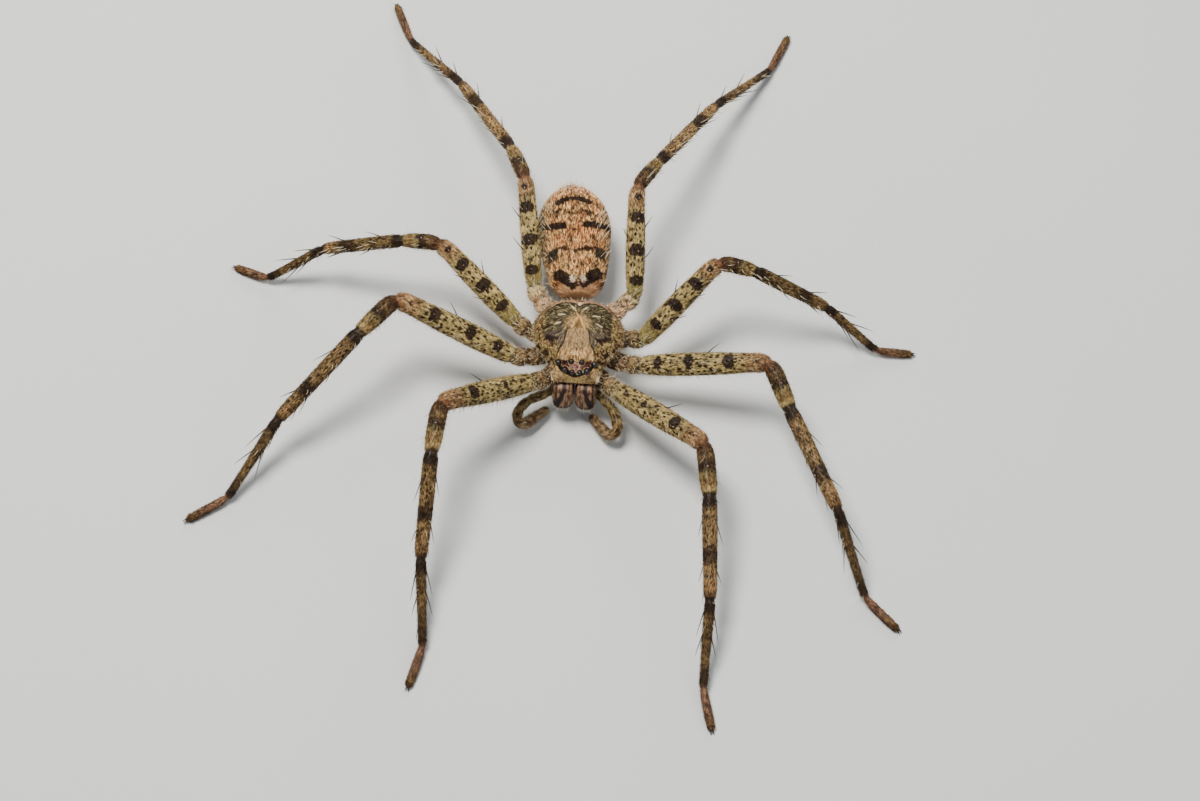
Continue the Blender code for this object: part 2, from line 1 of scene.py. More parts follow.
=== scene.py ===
"""Looks of a life-size huntsman spider at rest on a plain pale floor.

Sizes are in millimetres in the spider's own frame: it faces -Y, its left side is at +X and
the floor is z = 0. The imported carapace's box gives the shift from there to the model's frame.
Skins are closed tubes of points on a grid, and coats are thin tufts rooted on those skins.
Markings are fields in millimetres, kept on skin and coat alike, which the materials read.
"""
import logging
import math
from dataclasses import dataclass, field
from enum import Enum

import bpy
import numpy as np
from mathutils import Matrix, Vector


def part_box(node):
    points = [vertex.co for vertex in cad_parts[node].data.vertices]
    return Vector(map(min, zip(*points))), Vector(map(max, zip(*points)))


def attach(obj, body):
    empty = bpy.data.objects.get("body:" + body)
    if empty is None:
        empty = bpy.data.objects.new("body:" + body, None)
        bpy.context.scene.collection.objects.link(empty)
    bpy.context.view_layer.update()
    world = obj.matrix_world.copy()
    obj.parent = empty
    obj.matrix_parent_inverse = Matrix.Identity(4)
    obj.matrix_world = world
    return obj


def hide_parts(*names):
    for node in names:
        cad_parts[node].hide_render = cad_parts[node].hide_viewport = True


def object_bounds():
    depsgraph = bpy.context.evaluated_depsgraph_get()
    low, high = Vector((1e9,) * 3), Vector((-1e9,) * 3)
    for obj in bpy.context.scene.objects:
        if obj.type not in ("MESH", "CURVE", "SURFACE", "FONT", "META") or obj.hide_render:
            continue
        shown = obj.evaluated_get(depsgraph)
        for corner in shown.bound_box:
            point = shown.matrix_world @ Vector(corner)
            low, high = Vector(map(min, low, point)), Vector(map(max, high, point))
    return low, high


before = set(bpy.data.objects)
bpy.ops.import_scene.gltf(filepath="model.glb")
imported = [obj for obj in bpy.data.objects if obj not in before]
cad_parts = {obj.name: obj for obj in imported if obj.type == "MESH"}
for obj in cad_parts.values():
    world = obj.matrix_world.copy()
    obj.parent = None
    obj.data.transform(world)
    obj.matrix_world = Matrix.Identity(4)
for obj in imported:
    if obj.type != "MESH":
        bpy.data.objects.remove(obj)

CAD_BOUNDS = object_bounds()
LOG = logging.getLogger("spider")
MM = 0.001
PHOTO_WIDTH = 1200
BODY = "root"
FAR = 9.0
LOWEST = 0.03

Color = tuple[float, float, float]
Points = np.ndarray
Socket = bpy.types.NodeSocket
Material = bpy.types.Material
Piece = bpy.types.Object
Materials = dict[str, Material]


class Side(Enum):
    """The spider's own sides, with the sign of x there."""

    LEFT = 1
    RIGHT = -1

    @property
    def word(self) -> str:
        """The side's name in piece names."""
        return self.name.lower()


class Segment(Enum):
    """Segments of a leg in order from the body."""

    COXA = 0
    TROCHANTER = 1
    FEMUR = 2
    PATELLA = 3
    TIBIA = 4
    METATARSUS = 5
    TARSUS = 6


class Hairs(Enum):
    """Kinds of hair, with the value that the coat's material reads."""

    FUR = 0.0
    SETA = 1.0


def corner_shift() -> Points:
    """Shift in millimetres from the spider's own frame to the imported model's frame."""
    low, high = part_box("carapace")
    front = Carapace.sections[0][0]
    return np.array(((low.x + high.x) / 2 / MM, low.y / MM - front, 0.0))


def smooth(stations: tuple, values: tuple, where: Points) -> Points:
    """Read a smooth curve through values at stations: cubic pieces whose slopes are the mean
    of the neighbouring chords, and nought where the values turn.

    Args:
        stations: rising places of the values.
        values: the values there.
        where: places to read.
    Returns:
        The values read, held level beyond both ends.
    """
    stations = np.asarray(stations, float)
    values = np.asarray(values, float)
    where = np.clip(np.asarray(where, float), stations[0], stations[-1])
    chords = np.diff(values) / np.diff(stations)
    slopes = np.concatenate([[chords[0]], (chords[:-1] + chords[1:]) / 2, [chords[-1]]])
    slopes[1:-1][chords[:-1] * chords[1:] <= 0] = 0
    cell = np.clip(np.searchsorted(stations, where, side="right") - 1, 0, len(chords) - 1)
    width = stations[cell + 1] - stations[cell]
    t = (where - stations[cell]) / width
    return (values[cell] * (1 + 2 * t) * (1 - t) ** 2 + values[cell + 1] * t * t * (3 - 2 * t)
            + slopes[cell] * width * t * (1 - t) ** 2 - slopes[cell + 1] * width * t * t * (1 - t))


def unit(vectors: Points) -> Points:
    """Vectors divided by their lengths."""
    return vectors / np.maximum(np.linalg.norm(vectors, axis=-1, keepdims=True), 1e-9)


def turns(count: int) -> Points:
    """Angles of evenly spaced places round a ring."""
    return np.arange(count) * 2 * math.pi / count


def sunk(points: Points, depth: float | Points) -> Points:
    """A tube's points moved inwards along its normals by a depth in millimetres."""
    return points - Skin("", points, {}).normals * np.asarray(depth)[..., None]


def bell(distance: Points, width: float) -> Points:
    """A bell curve of a distance: one at nought, and small past twice the width."""
    return np.exp(-(distance / width) ** 2)


def to_strokes(across: Points, along: Points, strokes: tuple) -> Points:
    """Distance to the nearest of thick lines, less half its thickness.

    Args:
        across: places across the body.
        along: places along it.
        strokes: two ends and half the thickness of each line.
    Returns:
        Distances, below zero inside a line.
    """
    gaps = []
    for (x0, y0), (x1, y1), half in strokes:
        share = ((across - x0) * (x1 - x0) + (along - y0) * (y1 - y0)) / ((x1 - x0) ** 2 + (y1 - y0) ** 2)
        share = np.clip(share, 0, 1)
        gaps.append(np.hypot(across - x0 - share * (x1 - x0), along - y0 - share * (y1 - y0)) - half)
    return np.minimum.reduce(gaps)


class Centreline:
    """A line through joints whose corners are rounded by quadratic curves, read by length."""

    CORNER_STEPS = 24
    NEAR = 0.12
    LARGEST_BEND = 0.45

    def __init__(self, joints: Points, bends: tuple) -> None:
        """Round each inner joint.

        Args:
            joints: the joints from one end to the other.
            bends: how far from each inner joint the line starts to bend.
        """
        joints = np.asarray(joints, float)
        runs = np.linalg.norm(np.diff(joints, axis=0), axis=1)
        t = np.linspace(0, 1, self.CORNER_STEPS + 1)[:, None]
        points = [joints[:1]]
        middles = []
        for index in range(1, len(joints) - 1):
            reach = min(bends[index - 1], self.LARGEST_BEND * min(runs[index - 1], runs[index]))
            corner = joints[index]
            start = corner + (joints[index - 1] - corner) * reach / runs[index - 1]
            end = corner + (joints[index + 1] - corner) * reach / runs[index]
            middles.append(sum(len(part) for part in points) + self.CORNER_STEPS // 2)
            points.append(start * (1 - t) ** 2 + corner * 2 * t * (1 - t) + end * t * t)
        points.append(joints[-1:])
        self.points = np.concatenate(points)
        steps = np.linalg.norm(np.diff(self.points, axis=0), axis=1)
        self.lengths = np.concatenate([[0.0], np.cumsum(steps)])
        self.marks = np.array([0.0, *self.lengths[middles], self.lengths[-1]])

    def at(self, where: Points) -> Points:
        """Points on the line at lengths along it."""
        return np.stack([np.interp(where, self.lengths, self.points[:, axis]) for axis in range(3)], -1)

    def frames(self, where: Points) -> tuple[Points, Points, Points, Points]:
        """Places, the line's direction, the level side direction and the upward one."""
        ahead = self.at(np.minimum(where + self.NEAR, self.lengths[-1]))
        along = unit(ahead - self.at(np.maximum(where - self.NEAR, 0)))
        side = unit(np.cross(along, (0.0, 0.0, 1.0)))
        return self.at(where), along, side, np.cross(side, along)


def ball(centre: Points, ahead: Points, side: Points, up: Points, rows: int,
         pole: float) -> tuple[Points, Points]:
    """An egg given by its three half axes.

    Args:
        centre: its centre.
        ahead: the half axis from one pole to the centre.
        side: the half axis aside.
        up: the half axis upwards.
        rows: its rings.
        pole: angle of the first ring from the pole, in radians.
    Returns:
        Rings of points from the front to the rear, and how far forward each is, from one to
        minus one.
    """
    lean = np.linspace(pole, math.pi - pole, rows)[:, None, None]
    turn = turns(36)[None, :, None]
    points = centre + np.cos(lean) * ahead + np.sin(lean) * (np.cos(turn) * side + np.sin(turn) * up)
    return points, np.broadcast_to(np.cos(lean)[..., 0], points.shape[:2])


def rings(line: Centreline, where: Points, half: Points, flat: Points, angles: Points,
          hand: int = 1) -> tuple[Points, Points]:
    """Rings of points round a line, kept off the floor, and their places on the straight tube.

    Args:
        line: the line.
        where: lengths along it.
        half: the radius at each.
        flat: the same upwards.
        angles: angles round each ring.
        hand: one, or minus one for rings that start at the other side.
    Returns:
        The points, and for each its length along the line and its shifts aside and upwards.
    """
    places, _, side, up = line.frames(where)
    cos, sin = np.cos(angles)[None, :, None], np.sin(angles)[None, :, None]
    points = (places[:, None] + cos * hand * half[:, None, None] * side[:, None]
              + sin * flat[:, None, None] * up[:, None])
    points[:, :, 2] = np.maximum(points[:, :, 2], LOWEST)
    aside, over = half[:, None] * np.cos(angles), half[:, None] * np.sin(angles)
    return points, np.stack(np.broadcast_arrays(where[:, None], aside, over), -1)


@dataclass
class Skin:
    """A closed tube of skin: rings of points, each with the fields its markings read.

    Fields are arrays over the grid, of numbers or of vectors. `lie` is where its hairs point.
    """

    name: str
    points: Points
    fields: dict[str, Points]
    strips: int = 1
    lie: Points | None = None
    normals: Points = field(init=False)

    MARGIN = 0.02
    POLE_SHIFT = 0.01

    def __post_init__(self) -> None:
        """Work out the outward normals, and let hairs point along the tube where not said."""
        down = np.gradient(self.points, axis=0)
        around = np.roll(self.points, -1, axis=1) - np.roll(self.points, 1, axis=1)
        normals = unit(np.cross(down, around))
        outward = self.points - self.points.mean(axis=1, keepdims=True)
        if np.sum(normals * outward) < 0:
            normals = -normals
        self.normals = normals
        if self.lie is None:
            self.lie = down

    def unwrap(self, down: Points, around: Points, strip: Points) -> Points:
        """Places on the skin's unwrap: its length is cut into strips that lie side by side.

        Args:
            down: share of the tube's length, from nought to one.
            around: share of the way round.
            strip: the strip that each place is in.
        Returns:
            Map coordinates, with a thin margin round each strip.
        """
        room = 1 - 2 * self.MARGIN
        across = (strip + self.MARGIN + around * room) / self.strips
        length = self.MARGIN + (down * self.strips - strip) * room
        return np.stack([length, across], -1)

    def build(self, material: Material) -> Piece:
        """Make the tube's mesh: four-cornered faces between rings and a fan on each end."""
        rows, cols = self.points.shape[:2]
        row, col = np.meshgrid(np.arange(rows - 1), np.arange(cols), indexing="ij")
        after = (col + 1) % cols
        quads = np.stack([row * cols + col, (row + 1) * cols + col, (row + 1) * cols + after,
                          row * cols + after], -1).reshape(-1, 4)
        strip = np.minimum(row * self.strips // (rows - 1), self.strips - 1).reshape(-1, 1)
        down = np.stack([row, row + 1, row + 1, row], -1).reshape(-1, 4) / (rows - 1)
        around = np.stack([col, col, col + 1, col + 1], -1).reshape(-1, 4) / cols
        quad_map = self.unwrap(down, around, np.broadcast_to(strip, down.shape))
        ring = np.arange(cols)
        fans = []
        fan_maps = []
        for pole, first in ((rows * cols, 0), (rows * cols + 1, (rows - 1) * cols)):
            nearer = first + (ring + 1) % cols
            fans.append(np.stack([np.full(cols, pole), first + ring, nearer], -1))
            corner = self.unwrap(np.full((cols, 3), min(first, 1.0)),
                                 np.stack([ring + 0.5, ring, ring + 1], -1) / cols,
                                 np.full((cols, 3), (self.strips - 1) * min(first, 1)))
            corner[:, 0, 0] += self.POLE_SHIFT if first else -self.POLE_SHIFT
            fan_maps.append(corner)
        ends = self.points[[0, -1]].mean(axis=1)
        points = np.concatenate([self.points.reshape(-1, 3), ends])
        fields = {name: np.concatenate([values.reshape(rows * cols, -1), values[[0, -1]].mean(axis=1)
                                        .reshape(2, -1)]) for name, values in self.fields.items()}
        faces = [quads, np.concatenate(fans)]
        maps = [quad_map, np.concatenate(fan_maps)]
        return make_piece(self.name, points, faces, maps, fields, material)


def read_grid(values: Points, down: Points, around: Points) -> Points:
    """Values between a tube's grid points, mixed from the four nearest.

    Args:
        values: numbers or vectors over the grid.
        down: places down the grid.
        around: places round it, which may pass its seam.
    Returns:
        The values read, as vectors.
    """
    values = values.reshape(*values.shape[:2], -1)
    down = np.clip(down, 0, values.shape[0] - 1.001)
    row = down.astype(int)
    start = np.floor(around).astype(int)
    col, after = start % values.shape[1], (start + 1) % values.shape[1]
    u, v = (down - row)[:, None], (around - start)[:, None]
    near = values[row, col] * (1 - v) + values[row, after] * v
    far = values[row + 1, col] * (1 - v) + values[row + 1, after] * v
    return near * (1 - u) + far * u


TUFT_LEVELS = np.array((0, 0, 0, 1, 1, 1, 2))
TUFT_MAP = np.array(((-1, -1), (1, -1), (0, -0.6), (-0.8, 0), (0.8, 0), (0, 0.3), (0, 1))) * 0.0015
TUFT_QUADS = np.array(((0, 3, 4, 1), (1, 4, 5, 2), (2, 5, 3, 0)))
TUFT_TRIANGLES = np.array(((3, 6, 4), (4, 6, 5), (5, 6, 3)))


@dataclass(frozen=True)
class Hair:
    """One kind of hair: how many, how long and wide, how it stands, and where it grows.

    Angles are in degrees from the skin. `where` gives a weight for each place from the skin's
    fields, and hairs grow in proportion to it.
    """

    count: int
    shortest: float
    longest: float
    width: float
    lift: float
    tip_lift: float
    spread: float = 16.0
    kind: Hairs = Hairs.FUR
    seed: int = 1
    where: object = None

    ROOTED = 0.03
    KEEL = 0.6
    WAIST = 0.85
    STEPS_AWAY = 12

    def grow(self, skin: Skin) -> tuple[Points, Points, dict[str, Points]]:
        """Root tufts on a skin: each is a flat three-sided spike with one bend.

        A cell of the skin's grid gets tufts in proportion to its area times its weight, and a
        tuft's place in the cell is drawn at random.
        Args:
            skin: the skin that carries the hairs.
        Returns:
            Points, map coordinates and fields of the tufts, seven points to a tuft.
        """
        rng = np.random.default_rng(self.seed)
        grid = skin.points
        right = np.roll(grid, -1, axis=1)
        area = np.linalg.norm(np.cross(grid[1:] - grid[:-1], right[:-1] - grid[:-1]), axis=-1)
        weight = area if self.where is None else area * self.where(skin.fields)[:-1]
        heap = np.cumsum(weight.ravel())
        draws = (np.arange(self.count) + rng.random(self.count)) / self.count * heap[-1]
        cell = np.minimum(np.searchsorted(heap, draws), heap.size - 1)
        row, col = np.unravel_index(cell, area.shape)
        u, v = rng.random((2, self.count, 1))

        down, around = row + u[:, 0], col + v[:, 0]
        root = read_grid(grid, down, around)
        normal = unit(read_grid(skin.normals, down, around))
        lie = read_grid(skin.lie, down, around)
        lie = unit(lie - normal * np.sum(lie * normal, axis=-1, keepdims=True))
        across = np.cross(normal, lie)
        turn = np.radians(self.spread) * rng.standard_normal((self.count, 1))
        lie, across = lie * np.cos(turn) + across * np.sin(turn), across * np.cos(turn) - lie * np.sin(turn)
        length = self.shortest + (self.longest - self.shortest) * rng.random((self.count, 1))
        lift = np.radians(self.lift * (0.7 + 0.6 * rng.random((self.count, 1))))
        tip_lift = np.radians(self.tip_lift * (0.7 + 0.6 * rng.random((self.count, 1))))
        first = lie * np.cos(lift) + normal * np.sin(lift)
        last = lie * np.cos(tip_lift) + normal * np.sin(tip_lift)
        root = root - first * self.ROOTED
        middle = root + first * length * 0.5
        tip = middle + last * length * 0.5
        over = np.cross(across, first)
        over = over * np.sign(np.sum(over * normal, axis=-1, keepdims=True) + 1e-9)
        half = self.width / 2
        ring = np.stack([across * half, -across * half, over * half * self.KEEL], 1)
        points = np.concatenate([root[:, None] + ring, middle[:, None] + ring * self.WAIST, tip[:, None]], 1)
        rows = grid.shape[0] - 1
        strip = np.minimum(row * skin.strips // rows, skin.strips - 1)
        place = skin.unwrap((row + u[:, 0]) / rows, (col + v[:, 0]) / grid.shape[1], strip)
        steps = (grid[row + 1, col] - grid[row, col], right[row, col] - grid[row, col])
        spots = [self.under(skin, down, around, *steps, point - root) for point in (root, middle, tip)]
        fields = {name: np.stack([read_grid(values, *spot) for spot in spots], axis=1)[:, TUFT_LEVELS]
                  for name, values in skin.fields.items()}
        shape = (self.count, len(TUFT_LEVELS), 1)
        fields["tip"] = np.broadcast_to(TUFT_LEVELS[None, :, None] / 2, shape)
        fields["shade"] = np.broadcast_to(rng.random((self.count, 1, 1)), shape)
        fields["kind"] = np.full(shape, self.kind.value)
        return (points.reshape(-1, 3), (place[:, None, :] + TUFT_MAP).reshape(-1, 2),
                {name: values.reshape(-1, values.shape[-1]) for name, values in fields.items()})

    def under(self, skin: Skin, down: Points, around: Points, step_down: Points, step_around: Points,
              shift: Points) -> tuple[Points, Points]:
        """Where on the skin's grid a tuft's point stands: its shift from the root is parted into
        steps down the grid and round it, by least squares.

        Args:
            skin: the skin below.
            down: the root's place down the grid.
            around: the root's place round the grid.
            step_down: one step of the grid down, in millimetres.
            step_around: one step of the grid round it.
            shift: how far the point is from the root.
        Returns:
            The point's place down the grid and round it.
        """
        aa = np.sum(step_down ** 2, -1)
        bb = np.sum(step_around ** 2, -1)
        ab = np.sum(step_down * step_around, -1)
        a = np.sum(shift * step_down, -1)
        b = np.sum(shift * step_around, -1)
        room = np.maximum(aa * bb - ab ** 2, 1e-12)
        reach = skin.points.shape[1] / 6
        turned = np.clip((aa * b - ab * a) / room, -reach, reach)
        return down + np.clip((bb * a - ab * b) / room, -self.STEPS_AWAY, self.STEPS_AWAY), around + turned


def coat_piece(name: str, skin: Skin, hairs: list[Hair], material: Material) -> Piece:
    """Grow several kinds of hair on a skin and join them into one piece.

    Args:
        name: the piece's name.
        skin: the skin that carries the hairs.
        hairs: the kinds of hair.
        material: the coat's material.
    Returns:
        The coat's object.
    """
    grown = [hair.grow(skin) for hair in hairs]
    points = np.concatenate([part[0] for part in grown])
    places = np.concatenate([part[1] for part in grown])
    fields = {key: np.concatenate([part[2][key] for part in grown]) for key in grown[0][2]}
    first = np.arange(0, len(points), len(TUFT_LEVELS))[:, None, None]
    quads = (first + TUFT_QUADS).reshape(-1, 4)
    triangles = (first + TUFT_TRIANGLES).reshape(-1, 3)
    return make_piece(name, points, [quads, triangles], [places[quads], places[triangles]], fields, material,
                      closed=False)


def put_on(skin: Skin, materials: Materials, look: str, replaced: tuple = (),
           hairs: list | None = None,
           coat: str = "") -> None:
    """Build a skin, and a coat on it where it has hairs.

    Args:
        skin: the skin.
        materials: materials by name.
        look: what the names of its materials start with.
        replaced: the solids that it stands for.
        hairs: the kinds of hair of its coat.
        coat: the coat's name, unless it is the skin's.
    """
    piece = skin.build(materials[look + "_skin"])
    if replaced:
        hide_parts(*replaced)
    if hairs:
        coat = coat or skin.name.removesuffix("_skin") + "_coat"
        coat_piece(coat, skin, hairs, materials[look + "_coat"])


def make_piece(name: str, points: Points, faces: list[Points], maps: list[Points] | None,
               fields: dict[str, Points], material: Material, closed: bool = True) -> Piece:
    """Put arrays into a mesh object that rides on the spider's body.

    Args:
        name: the piece's name.
        points: its points in millimetres, in the spider's own frame.
        faces: arrays of corner numbers, one array for each number of corners.
        maps: map coordinates of those corners, or nothing.
        fields: values at the points, of one or three numbers each.
        material: the piece's material.
        closed: whether its faces close it, so that they can be turned outwards by its volume.
    Returns:
        The object, at the origin, with its place in its mesh.
    """
    low, high = INSIDE
    placed = np.clip(points + SHIFT, low, high)
    if closed:
        volume = 0.0
        heart = placed.mean(axis=0)
        for group in faces:
            a, b, c = (placed[group[:, spot]] - heart for spot in range(3))
            volume += np.sum(a * np.cross(b, c))
            if group.shape[1] == 4:
                volume += np.sum(a * np.cross(c, placed[group[:, 3]] - heart))
        if volume < 0:
            faces = [group[:, ::-1] for group in faces]
            maps = [group[:, ::-1] for group in maps] if maps else None
    mesh = bpy.data.meshes.new(name)
    mesh.vertices.add(len(placed))
    mesh.vertices.foreach_set("co", (placed * MM).astype(np.float32).ravel())
    corners = np.concatenate([group.ravel() for group in faces])
    sizes = np.concatenate([np.full(len(group), group.shape[1]) for group in faces])
    mesh.loops.add(len(corners))
    mesh.loops.foreach_set("vertex_index", corners.astype(np.int32))
    mesh.polygons.add(len(sizes))
    mesh.polygons.foreach_set("loop_start", (np.cumsum(sizes) - sizes).astype(np.int32))
    if maps:
        layer = mesh.uv_layers.new(name="OFBake")
        flat = np.concatenate([group.reshape(-1, 2) for group in maps])
        layer.data.foreach_set("uv", flat.astype(np.float32).ravel())
    for key, values in fields.items():
        kind = "FLOAT_VECTOR" if values.shape[1] == 3 else "FLOAT"
        attribute = mesh.attributes.new(key, kind, "POINT")
        attribute.data.foreach_set("vector" if kind == "FLOAT_VECTOR" else "value",
                                   np.ascontiguousarray(values, np.float32).ravel())
    mesh.update(calc_edges=True)
    mesh.shade_smooth()
    mesh.materials.append(material)
    piece = bpy.data.objects.new(name, mesh)
    bpy.context.scene.collection.objects.link(piece)
    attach(piece, BODY)
    triangles = int(np.sum(sizes - 2))
    LOG.info("%s: %d triangles", name, triangles)
    return piece


def spikes(name: str, roots: Points, directions: Points, bends: Points, lengths: Points, radii: Points,
           material: Material, sides: int = 7, rings: int = 7) -> Piece:
    """Make many curved tapering spikes as one piece.

    A spike's axis runs from its root along its direction, and turns aside by its bend times
    the square of the share of its length. Its radius falls as the square root of what is left.
    Args:
        name: the piece's name.
        roots: where the spikes start.
        directions: where they point at first.
        bends: how far each tip is turned aside.
        lengths: their lengths.
        radii: their radii at the root.
        material: their material.
        sides: corners of a spike's rings.
        rings: rings along it.
    Returns:
        The object.
    """
    count = len(roots)
    share = np.linspace(0, 1, rings)
    along = unit(directions)
    side = unit(np.cross(along, (0.21, 0.35, 0.91)))
    over = np.cross(side, along)
    axis = (roots[:, None] + along[:, None] * share[None, :, None] * lengths[:, None, None]
            + bends[:, None] * (share ** 2)[None, :, None])
    taper = np.maximum(1 - share, 0.0) ** 0.6 * 0.96 + 0.04
    angles = turns(sides)
    ring = side[:, None] * np.cos(angles)[None, :, None] + over[:, None] * np.sin(angles)[None, :, None]
    points = axis[:, :, None] + ring[:, None] * (radii[:, None] * taper[None])[:, :, None, None]
    first = (np.arange(count) * rings * sides)[:, None, None]
    row, col = np.meshgrid(np.arange(rings - 1), np.arange(sides), indexing="ij")
    after = (col + 1) % sides
    quads = np.stack([row * sides + col, row * sides + after, (row + 1) * sides + after,
                      (row + 1) * sides + col], -1).reshape(1, -1, 4)
    caps = [np.arange(sides)[::-1], np.arange(sides) + (rings - 1) * sides]
    ends = np.stack(caps)[None]
    fields = {"tip": np.broadcast_to(share[None, :, None], (count, rings, sides)).reshape(-1, 1)}
    return make_piece(name, points.reshape(-1, 3),
                      [(quads + first).reshape(-1, 4), (ends + first).reshape(-1, sides)],
                      None, fields, material)


class Graph:
    """A node tree filled by short calls. A value is a number, a tuple or an output socket."""

    def __init__(self, tree: bpy.types.NodeTree) -> None:
        """Keep the tree."""
        self.tree = tree

    def feed(self, socket: Socket, value: object) -> None:
        """Link a value to an input, or set it there."""
        if isinstance(value, Socket):
            self.tree.links.new(value, socket)
        elif value is not None:
            if socket.type == "RGBA" and len(value) == 3:
                value = (*value, 1.0)
            socket.default_value = value

    def add(self, kind: str, values: dict | None = None, **settings: object) -> bpy.types.Node:
        """Add a node with its settings and inputs.

        Args:
            kind: the node's type name.
            values: what its inputs get, by name or number.
            settings: its own options.
        Returns:
            The node.
        """
        node = self.tree.nodes.new(kind)
        for name, value in settings.items():
            setattr(node, name, value)
        for key, value in (values or {}).items():
            self.feed(node.inputs[key], value)
        return node

    def math(self, operation: str, a: object, b: object = None, clamp: bool = False) -> Socket:
        """One sum on two numbers."""
        node = self.add("ShaderNodeMath", {0: a, 1: b}, operation=operation, use_clamp=clamp)
        return node.outputs[0]

    def plus(self, a: object, b: object) -> Socket:
        """Two numbers added."""
        return self.math("ADD", a, b)

    def less(self, a: object, b: object) -> Socket:
        """One number less another."""
        return self.math("SUBTRACT", a, b)

    def times(self, a: object, b: object) -> Socket:
        """Two numbers multiplied."""
        return self.math("MULTIPLY", a, b)

    def over(self, a: object, b: object) -> Socket:
        """One number divided by another."""
        return self.math("DIVIDE", a, b)

    def away(self, value: object, centre: float) -> Socket:
        """How far a number is from a centre, either way."""
        return self.math("ABSOLUTE", self.less(value, centre))

    def mix(self, share: object, a: object, b: object, blend: str = "MIX") -> Socket:
        """Two colours mixed by a share."""
        node = self.add("ShaderNodeMix", {0: share, 6: a, 7: b}, data_type="RGBA", blend_type=blend)
        return node.outputs[2]

    def step(self, value: object, low: float, high: float, start: float = 0.0, end: float = 1.0) -> Socket:
        """A smooth step of a value from start to end, between low and high."""
        node = self.add("ShaderNodeMapRange", {0: value, 1: low, 2: high, 3: start, 4: end},
                        interpolation_type="SMOOTHSTEP")
        return node.outputs[0]

    def scaled(self, vector: object, scale: Color) -> Socket:
        """A vector times another."""
        node = self.add("ShaderNodeVectorMath", {0: vector, 1: scale}, operation="MULTIPLY")
        return node.outputs[0]

    def noise(self, vector: object, scale: float, detail: float = 2.0, rough: float = 0.5) -> Socket:
        """Soft noise from nought to one."""
        node = self.add("ShaderNodeTexNoise",
                        {"Vector": vector, "Scale": scale, "Detail": detail, "Roughness": rough})
        return node.outputs[0]

    def number(self, name: str) -> Socket:
        """A field of numbers of the piece."""
        return self.add("ShaderNodeAttribute", attribute_name=name).outputs["Fac"]

    def vector(self, name: str) -> Socket:
        """A field of vectors of the piece."""
        return self.add("ShaderNodeAttribute", attribute_name=name).outputs["Vector"]

    def split(self, vector: object) -> tuple:
        """The three numbers of a vector."""
        return tuple(self.add("ShaderNodeSeparateXYZ", {0: vector}).outputs)

    def ramp(self, value: object, stops: tuple) -> Socket:
        """A colour read from a ramp of stops."""
        node = self.add("ShaderNodeValToRGB", {0: value})
        elements = node.color_ramp.elements
        elements.remove(elements[1])
        elements[0].position = stops[0][0]
        elements[0].color = (*stops[0][1], 1.0)
        for place, color in stops[1:]:
            elements.new(place).color = (*color, 1.0)
        return node.outputs[0]

    def group(self, tree: bpy.types.NodeTree, values: dict) -> bpy.types.NodeOutputs:
        """Place a node group with its own values."""
        node = self.add("ShaderNodeGroup", node_tree=tree)
        for key, value in values.items():
            self.feed(node.inputs[key], value)
        return node.outputs


def new_group(name: str, inputs: dict[str, object], outputs: dict[str, str]) -> tuple:
    """Start a shader node group.

    Args:
        name: the group's name.
        inputs: its inputs with their values, a number or a tuple of three.
        outputs: its outputs with their kinds.
    Returns:
        The tree, its graph, its inputs by name and the node that takes its outputs.
    """
    tree = bpy.data.node_groups.new(name, "ShaderNodeTree")
    for key, value in inputs.items():
        kind = "NodeSocketVector" if isinstance(value, tuple) else "NodeSocketFloat"
        socket = tree.interface.new_socket(key, in_out="INPUT", socket_type=kind)
        socket.default_value = value
    for key, kind in outputs.items():
        tree.interface.new_socket(key, in_out="OUTPUT", socket_type=f"NodeSocket{kind}")
    graph = Graph(tree)
    source = graph.add("NodeGroupInput").outputs
    return tree, graph, {key: source[key] for key in inputs}, graph.add("NodeGroupOutput").inputs


